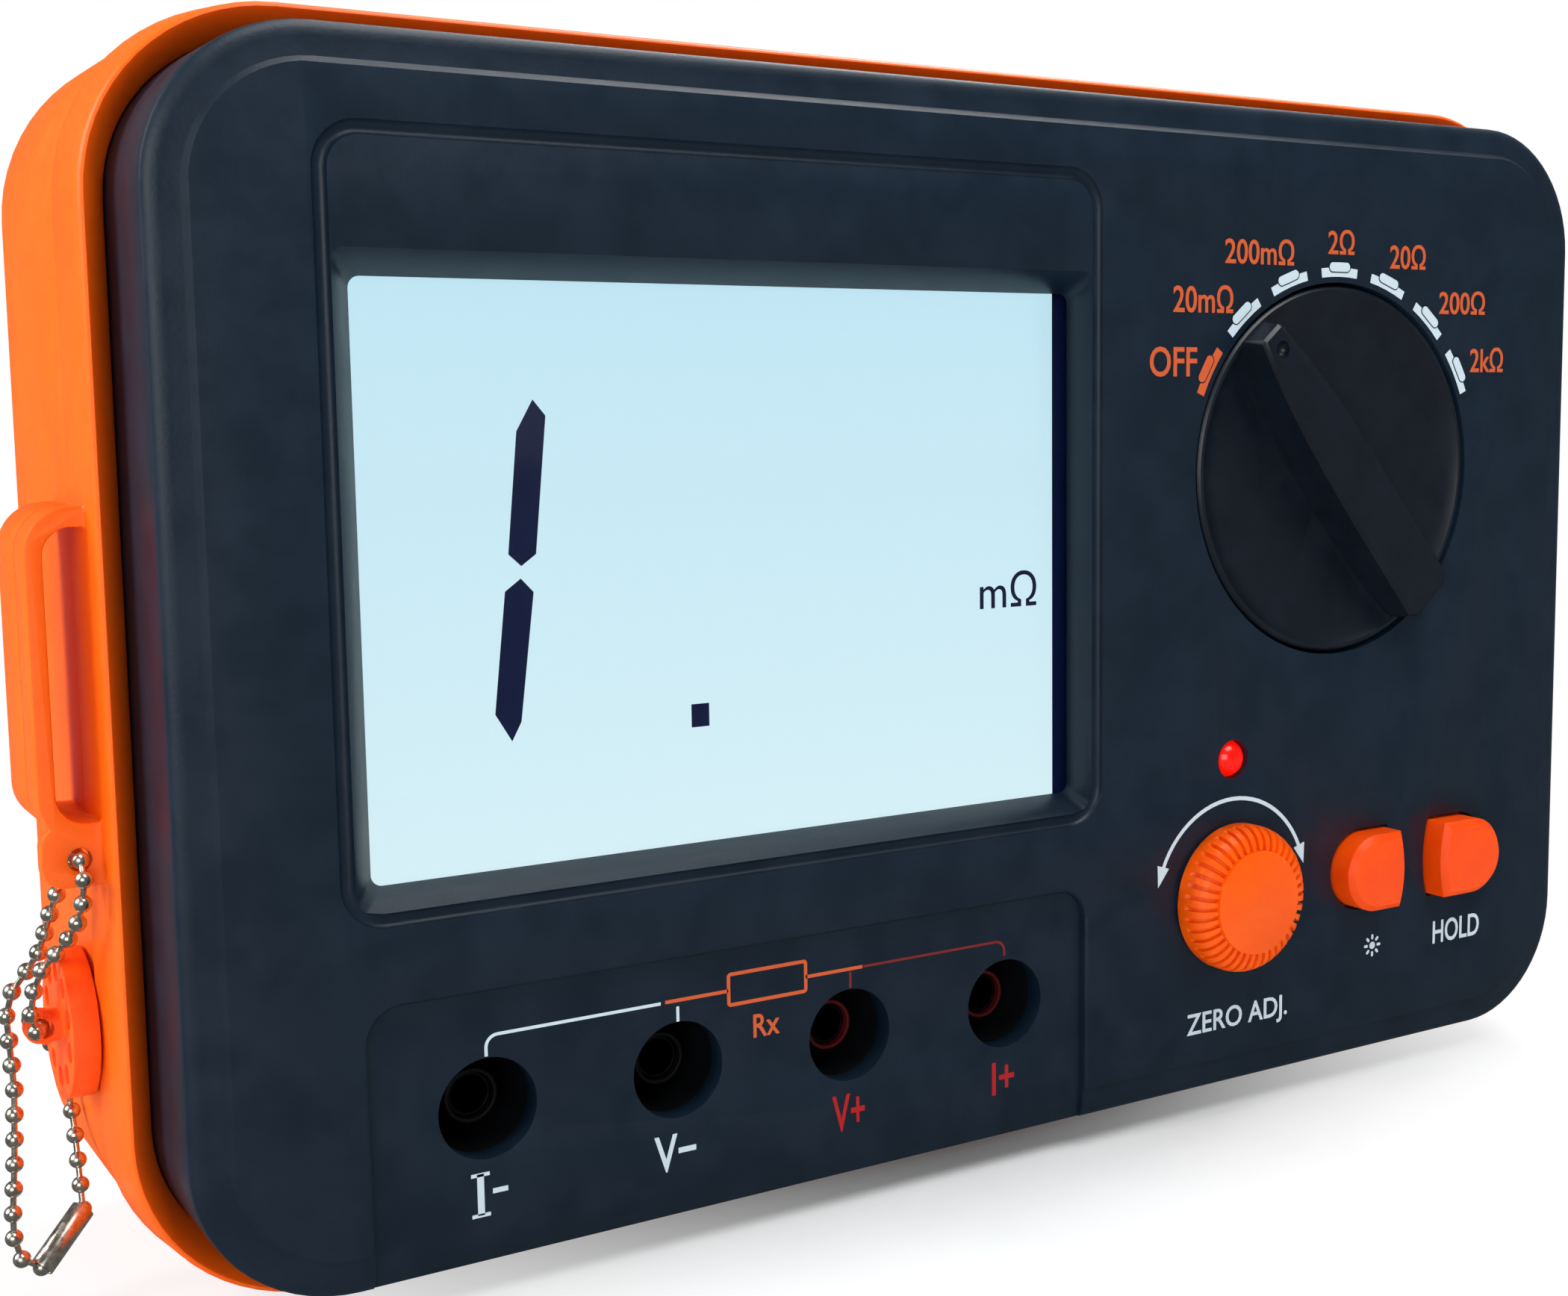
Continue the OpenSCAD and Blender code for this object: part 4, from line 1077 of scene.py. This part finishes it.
class METER_OT_print(bpy.types.Operator):
    """Words, marks and lines printed on the face."""

    bl_idname = "meter.print"
    bl_label = "Print"
    bl_options = {"REGISTER", "UNDO"}

    def execute(self, context):
        for text, name, box, material in (
            ("OFF", "word_off", (20.3, 96.4, 27.9, 100.1), orange_ink),
            ("20mΩ", "word_range_1", (24.0, 104.3, 33.8, 107.8), orange_ink),
            ("200mΩ", "word_range_2", (32.4, 110.5, 44.1, 113.8), orange_ink),
            ("2Ω", "word_range_3", (50.1, 112.2, 54.8, 115.4), orange_ink),
            ("20Ω", "word_range_4", (61.4, 110.6, 68.1, 113.9), orange_ink),
            ("200Ω", "word_range_5", (70.9, 104.8, 79.9, 108.0), orange_ink),
            ("2kΩ", "word_range_6", (77.2, 97.0, 83.8, 100.4), orange_ink),
            ("ZERO ADJ.", "word_zero", (27.0, 10.9, 44.5, 14.6), white_ink),
            ("HOLD", "word_hold", (72.2, 17.1, 81.6, 20.4), white_ink),
        ):
            word(text, name, box, material)
        for k in range(MARK_COUNT):
            material = white_ink if k else orange_ink
            self.mark(f"mark_{k}", MARK_FIRST - MARK_STEP * k, material)
        self.turn_arc()
        self.light_sign()
        self.leads()
        self.socket_names()
        return {"FINISHED"}

    def mark(self, name, angle, material):
        """One mark of the dial: an arc strip, and a capsule with a dark rim on its outer side."""
        centre = centre_of("range_dial")
        first = angle + STRIP_HALF_SPAN
        start = on_circle(centre, STRIP_RADIUS, first)
        moves = [("turn", -2 * STRIP_HALF_SPAN, STRIP_RADIUS)]
        trace(name + "_strip", start, first - 90, 1.2, moves, material)
        place = on_circle(centre, CAPSULE_RADIUS, angle)
        capsule(name + "_rim", place, angle - 90, 3.95, 1.5, 0.05, case_abs)
        capsule(name + "_pad", place, angle - 90, 3.65, 1.2, 0.07, material)

    def turn_arc(self):
        """Arc with two arrowheads over the zero knob."""
        centre = centre_of("zero_knob")
        start = on_circle(centre, ARC_RADIUS, ARC_START)
        trace("arc", start, ARC_START - 90, 0.52, [("turn", ARC_TURN, ARC_RADIUS)], white_ink)
        for name, angle, heading in (("arrow_left", 160, 252), ("arrow_right", 20, -72)):
            place = on_circle(centre, ARC_RADIUS, angle)
            arrowhead(name, place, heading, 2.7, 1.95, white_ink)

    def light_sign(self):
        """Sign of the light button: a small ring of rays."""
        for k in range(8):
            place = on_circle(SIGN, RAY_RADIUS, 45 * k)
            capsule(f"ray_{k}", place, 45 * k, 0.72, 0.4, FILM, white_ink)
        capsule("ray_hub", SIGN, 0, 1.05, 1.0, FILM, white_ink)

    def leads(self):
        """Lead lines from the sockets to the box that stands for the measured resistor."""
        white_moves = [("go", 0.9), ("turn", -90, 1.3), ("go", 18.9)]
        red_moves = [("go", 18.9), ("turn", -90, 1.3), ("go", 0.6)]
        box_moves = [("go", 9.35), ("turn", 90, 0.3), ("go", 2.9), ("turn", 90, 0.3)] * 2
        for name, start, heading, width, moves, material in (
            ("lead_white", (-67.45, 26.2), 90, 0.35, white_moves, white_ink),
            ("tick_white", (-45.2, 27.75), -90, 0.35, [("go", 1.7)], white_ink),
            ("lead_left", (-46.7, 28.45), 0, 0.4, [("go", 7.8)], orange_ink),
            ("lead_box", (-38.55, 26.8), 0, 0.42, box_moves, orange_ink),
            ("lead_right", (-28.9, 28.45), 0, 0.4, [("go", 7.6)], orange_ink),
            ("lead_red", (-21.2, 28.45), 0, 0.3, red_moves, dull_red_ink),
            ("tick_red", (-22.95, 28.1), -90, 0.3, [("go", 1.9)], dull_red_ink),
        ):
            trace(name, start, heading, width, moves, material, PANEL)

    def socket_names(self):
        """Name of the resistor and names of the sockets. The first one's letter has feet."""
        for text, name, box, material in (
            ("Rx", "word_rx", (-35.8, 22.5, -32.4, 25.2), orange_ink),
            ("V−", "word_v_minus", (-48.4, 9.2, -43.3, 13.4), white_ink),
            ("V+", "word_v_plus", (-25.6, 9.2, -21.2, 13.6), red_ink),
            ("I+", "word_i_plus", (-2.9, 9.3, 0.4, 13.4), red_ink),
        ):
            word(text, name, box, material, PANEL)
        for name, box in (
            ("word_i_stem", (-68.9, 9.2, -68.15, 13.7)),
            ("word_i_foot", (-69.55, 9.0, -67.5, 9.4)),
            ("word_i_head", (-69.55, 13.4, -67.5, 13.8)),
            ("word_i_dash", (-67.2, 11.3, -65.5, 11.85)),
        ):
            tile(name, box, white_ink, PANEL)


class METER_OT_dial(bpy.types.Operator):
    """Range dial with its pointer handle."""

    bl_idname = "meter.dial"
    bl_label = "Dial"
    bl_options = {"REGISTER", "UNDO"}

    def execute(self, context):
        obj = copied("range_dial", "dial")
        round_edges(obj, size("dial_edge"))
        smooth(obj)
        dress(obj, dial_abs, "dial", ["range_dial"])
        return {"FINISHED"}


class METER_OT_knob(bpy.types.Operator):
    """Fluted zero knob."""

    bl_idname = "meter.knob"
    bl_label = "Zero knob"
    bl_options = {"REGISTER", "UNDO"}

    def execute(self, context):
        obj = copied("zero_knob", "knob")
        round_edges(obj, size("knob_edge"))
        smooth(obj)
        dress(obj, knob_abs, "zero", ["zero_knob"])
        return {"FINISHED"}


class METER_OT_buttons(bpy.types.Operator):
    """Light button, hold button and indicator lamp."""

    bl_idname = "meter.buttons"
    bl_label = "Buttons and lamp"
    bl_options = {"REGISTER", "UNDO"}

    def execute(self, context):
        for source, name, body in (
            ("light_button", "button_light", "light_key"),
            ("hold_button", "button_hold", "hold_key"),
        ):
            obj = copied(source, name)
            round_edges(obj, size("button_edge"))
            smooth(obj)
            dress(obj, button_abs, body, [source])
        lamp = copied("indicator_lamp", "lamp")
        smooth(lamp)
        dress(lamp, lamp_epoxy, "root", ["indicator_lamp"])
        return {"FINISHED"}


class METER_OT_sockets(bpy.types.Operator):
    """Four test sockets and their sleeves. The inner tubes have their own colour."""

    bl_idname = "meter.sockets"
    bl_label = "Sockets"
    bl_options = {"REGISTER", "UNDO"}

    def execute(self, context):
        for end, tube, slot in (
            ("i_minus", black_nylon, "black_plastic"),
            ("v_minus", black_nylon, "black_plastic"),
            ("v_plus", red_nylon, "red_plastic"),
            ("i_plus", red_nylon, "red_plastic"),
        ):
            shroud = copied("socket_" + end, "shroud_" + end)
            round_edges(shroud, 0.2)
            smooth(shroud)
            dress(shroud, black_nylon, "root", ["socket_" + end])
            self.tint_tube(shroud, centre_of("socket_" + end), tube)
            sleeve = copied("contact_" + end, "sleeve_" + end)
            round_edges(sleeve, 0.12)
            smooth(sleeve)
            dress(sleeve, socket_metal, "root", ["contact_" + end])
        return {"FINISHED"}

    def tint_tube(self, shroud, axis, material):
        """Gives the faces near the axis (x, z) their own material."""
        shroud.data.materials.append(finish(material))
        edit(shroud)
        pick(shroud, lambda p: math.hypot(p.x - axis[0], p.z - axis[1]) < TUBE_RADIUS, "FACE")
        shroud.active_material_index = 1
        bpy.ops.object.material_slot_assign()
        bpy.ops.object.mode_set(mode="OBJECT")


class METER_OT_cap(bpy.types.Operator):
    """Dust cap, ball chain and coupling."""

    bl_idname = "meter.cap"
    bl_label = "Cap and chain"
    bl_options = {"REGISTER", "UNDO"}

    def execute(self, context):
        cap = copied("dust_cap", "cap")
        round_edges(cap, 0.25)
        smooth(cap)
        dress(cap, orange_elastomer, "cap", ["dust_cap"])
        chain = copied("ball_chain", "chain")
        smooth(chain)
        coat(chain, nickel)
        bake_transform(chain)
        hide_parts("ball_chain")
        coupling = copied("chain_coupling", "coupling")
        round_edges(coupling, 0.15)
        smooth(coupling)
        dress(coupling, nickel, "cap", ["chain_coupling"])
        return {"FINISHED"}


class METER_OT_stage(bpy.types.Operator):
    """Floor, world, lamps and camera."""

    bl_idname = "meter.stage"
    bl_label = "Stage"
    bl_options = {"REGISTER", "UNDO"}

    def execute(self, context):
        context.scene.view_settings.view_transform = "Standard"
        clear()
        bpy.ops.mesh.primitive_plane_add(size=6)
        floor = bpy.context.object
        floor.name = "floor"
        floor.data.materials.append(finish(paper))
        context.scene.world = self.studio()
        for name, place, width, power in LAMPS:
            self.lamp(name, place, width, power)
        context.scene.camera = self.camera()
        return {"FINISHED"}

    def studio(self):
        """A dim even world that is white to the camera and through the window."""
        world = bpy.data.worlds.new("Studio")
        world.use_nodes = True
        tree = world.node_tree
        sky = tree.nodes["Background"]
        sky.inputs["Color"].default_value = (1, 1, 1, 1)
        path = node(tree, "ShaderNodeLightPath")
        seen = node(
            tree,
            "ShaderNodeMath",
            links={0: path.outputs["Is Camera Ray"], 1: path.outputs["Is Transmission Ray"]},
            operation="MAXIMUM",
        )
        strength = node(
            tree,
            "ShaderNodeMapRange",
            {"To Min": WORLD_LIGHT, "To Max": 1.0},
            {"Value": seen.outputs[0]},
        )
        tree.links.new(strength.outputs["Result"], sky.inputs["Strength"])
        return world

    def lamp(self, name, place, width, power):
        """A soft square lamp that looks at the meter."""
        bpy.ops.object.light_add(type="AREA", location=place)
        lamp = bpy.context.object
        lamp.name = name
        lamp.data.size = width
        lamp.data.energy = power
        lamp.rotation_mode = "QUATERNION"
        aim = Vector(LAMP_AIM) - Vector(place)
        lamp.rotation_quaternion = aim.to_track_quat("-Z", "Y")

    def camera(self):
        """The camera, which looks at the face from its left."""
        bpy.ops.object.camera_add()
        camera = bpy.context.object
        camera.name = "camera"
        camera.data.sensor_width = 36
        camera.data.lens = CAMERA_LENS
        camera.data.shift_x, camera.data.shift_y = CAMERA_SHIFT
        camera.data.clip_start = 0.01
        right = Vector(CAMERA_RIGHT)
        up = Vector(CAMERA_UP)
        turn = Matrix((right, up, right.cross(up))).transposed()
        camera.matrix_world = Matrix.Translation(CAMERA_PLACE) @ turn.to_4x4()
        return camera


PIECES = (
    METER_OT_inner,
    METER_OT_case,
    METER_OT_screws,
    METER_OT_display,
    METER_OT_print,
    METER_OT_dial,
    METER_OT_knob,
    METER_OT_buttons,
    METER_OT_sockets,
    METER_OT_cap,
    METER_OT_stage,
)


class METER_PT_panel(bpy.types.Panel):
    """Lists the sizes, the colours and the pieces in the 3D view's sidebar."""

    bl_label = "Micro ohmmeter"
    bl_idname = "METER_PT_panel"
    bl_space_type = "VIEW_3D"
    bl_region_type = "UI"
    bl_category = "Meter"

    def draw(self, context):
        for group in (context.scene.meter_sizes, context.scene.meter_colours):
            for key in group.__annotations__:
                self.layout.prop(group, key)
        for piece in PIECES:
            self.layout.operator(piece.bl_idname)


CLASSES = (MeterSizes, MeterColours, *PIECES, METER_PT_panel)


def register():
    """Adds the classes and the two groups of the scene."""
    for made in CLASSES:
        bpy.utils.register_class(made)
    bpy.types.Scene.meter_sizes = PointerProperty(type=MeterSizes)
    bpy.types.Scene.meter_colours = PointerProperty(type=MeterColours)


def unregister():
    """Takes the two groups of the scene and the classes away again."""
    del bpy.types.Scene.meter_colours
    del bpy.types.Scene.meter_sizes
    for made in reversed(CLASSES):
        bpy.utils.unregister_class(made)


def main():
    register()
    for piece in PIECES:
        group, name = piece.bl_idname.split(".")
        getattr(getattr(bpy.ops, group), name)()


if __name__ == "__main__":
    main()
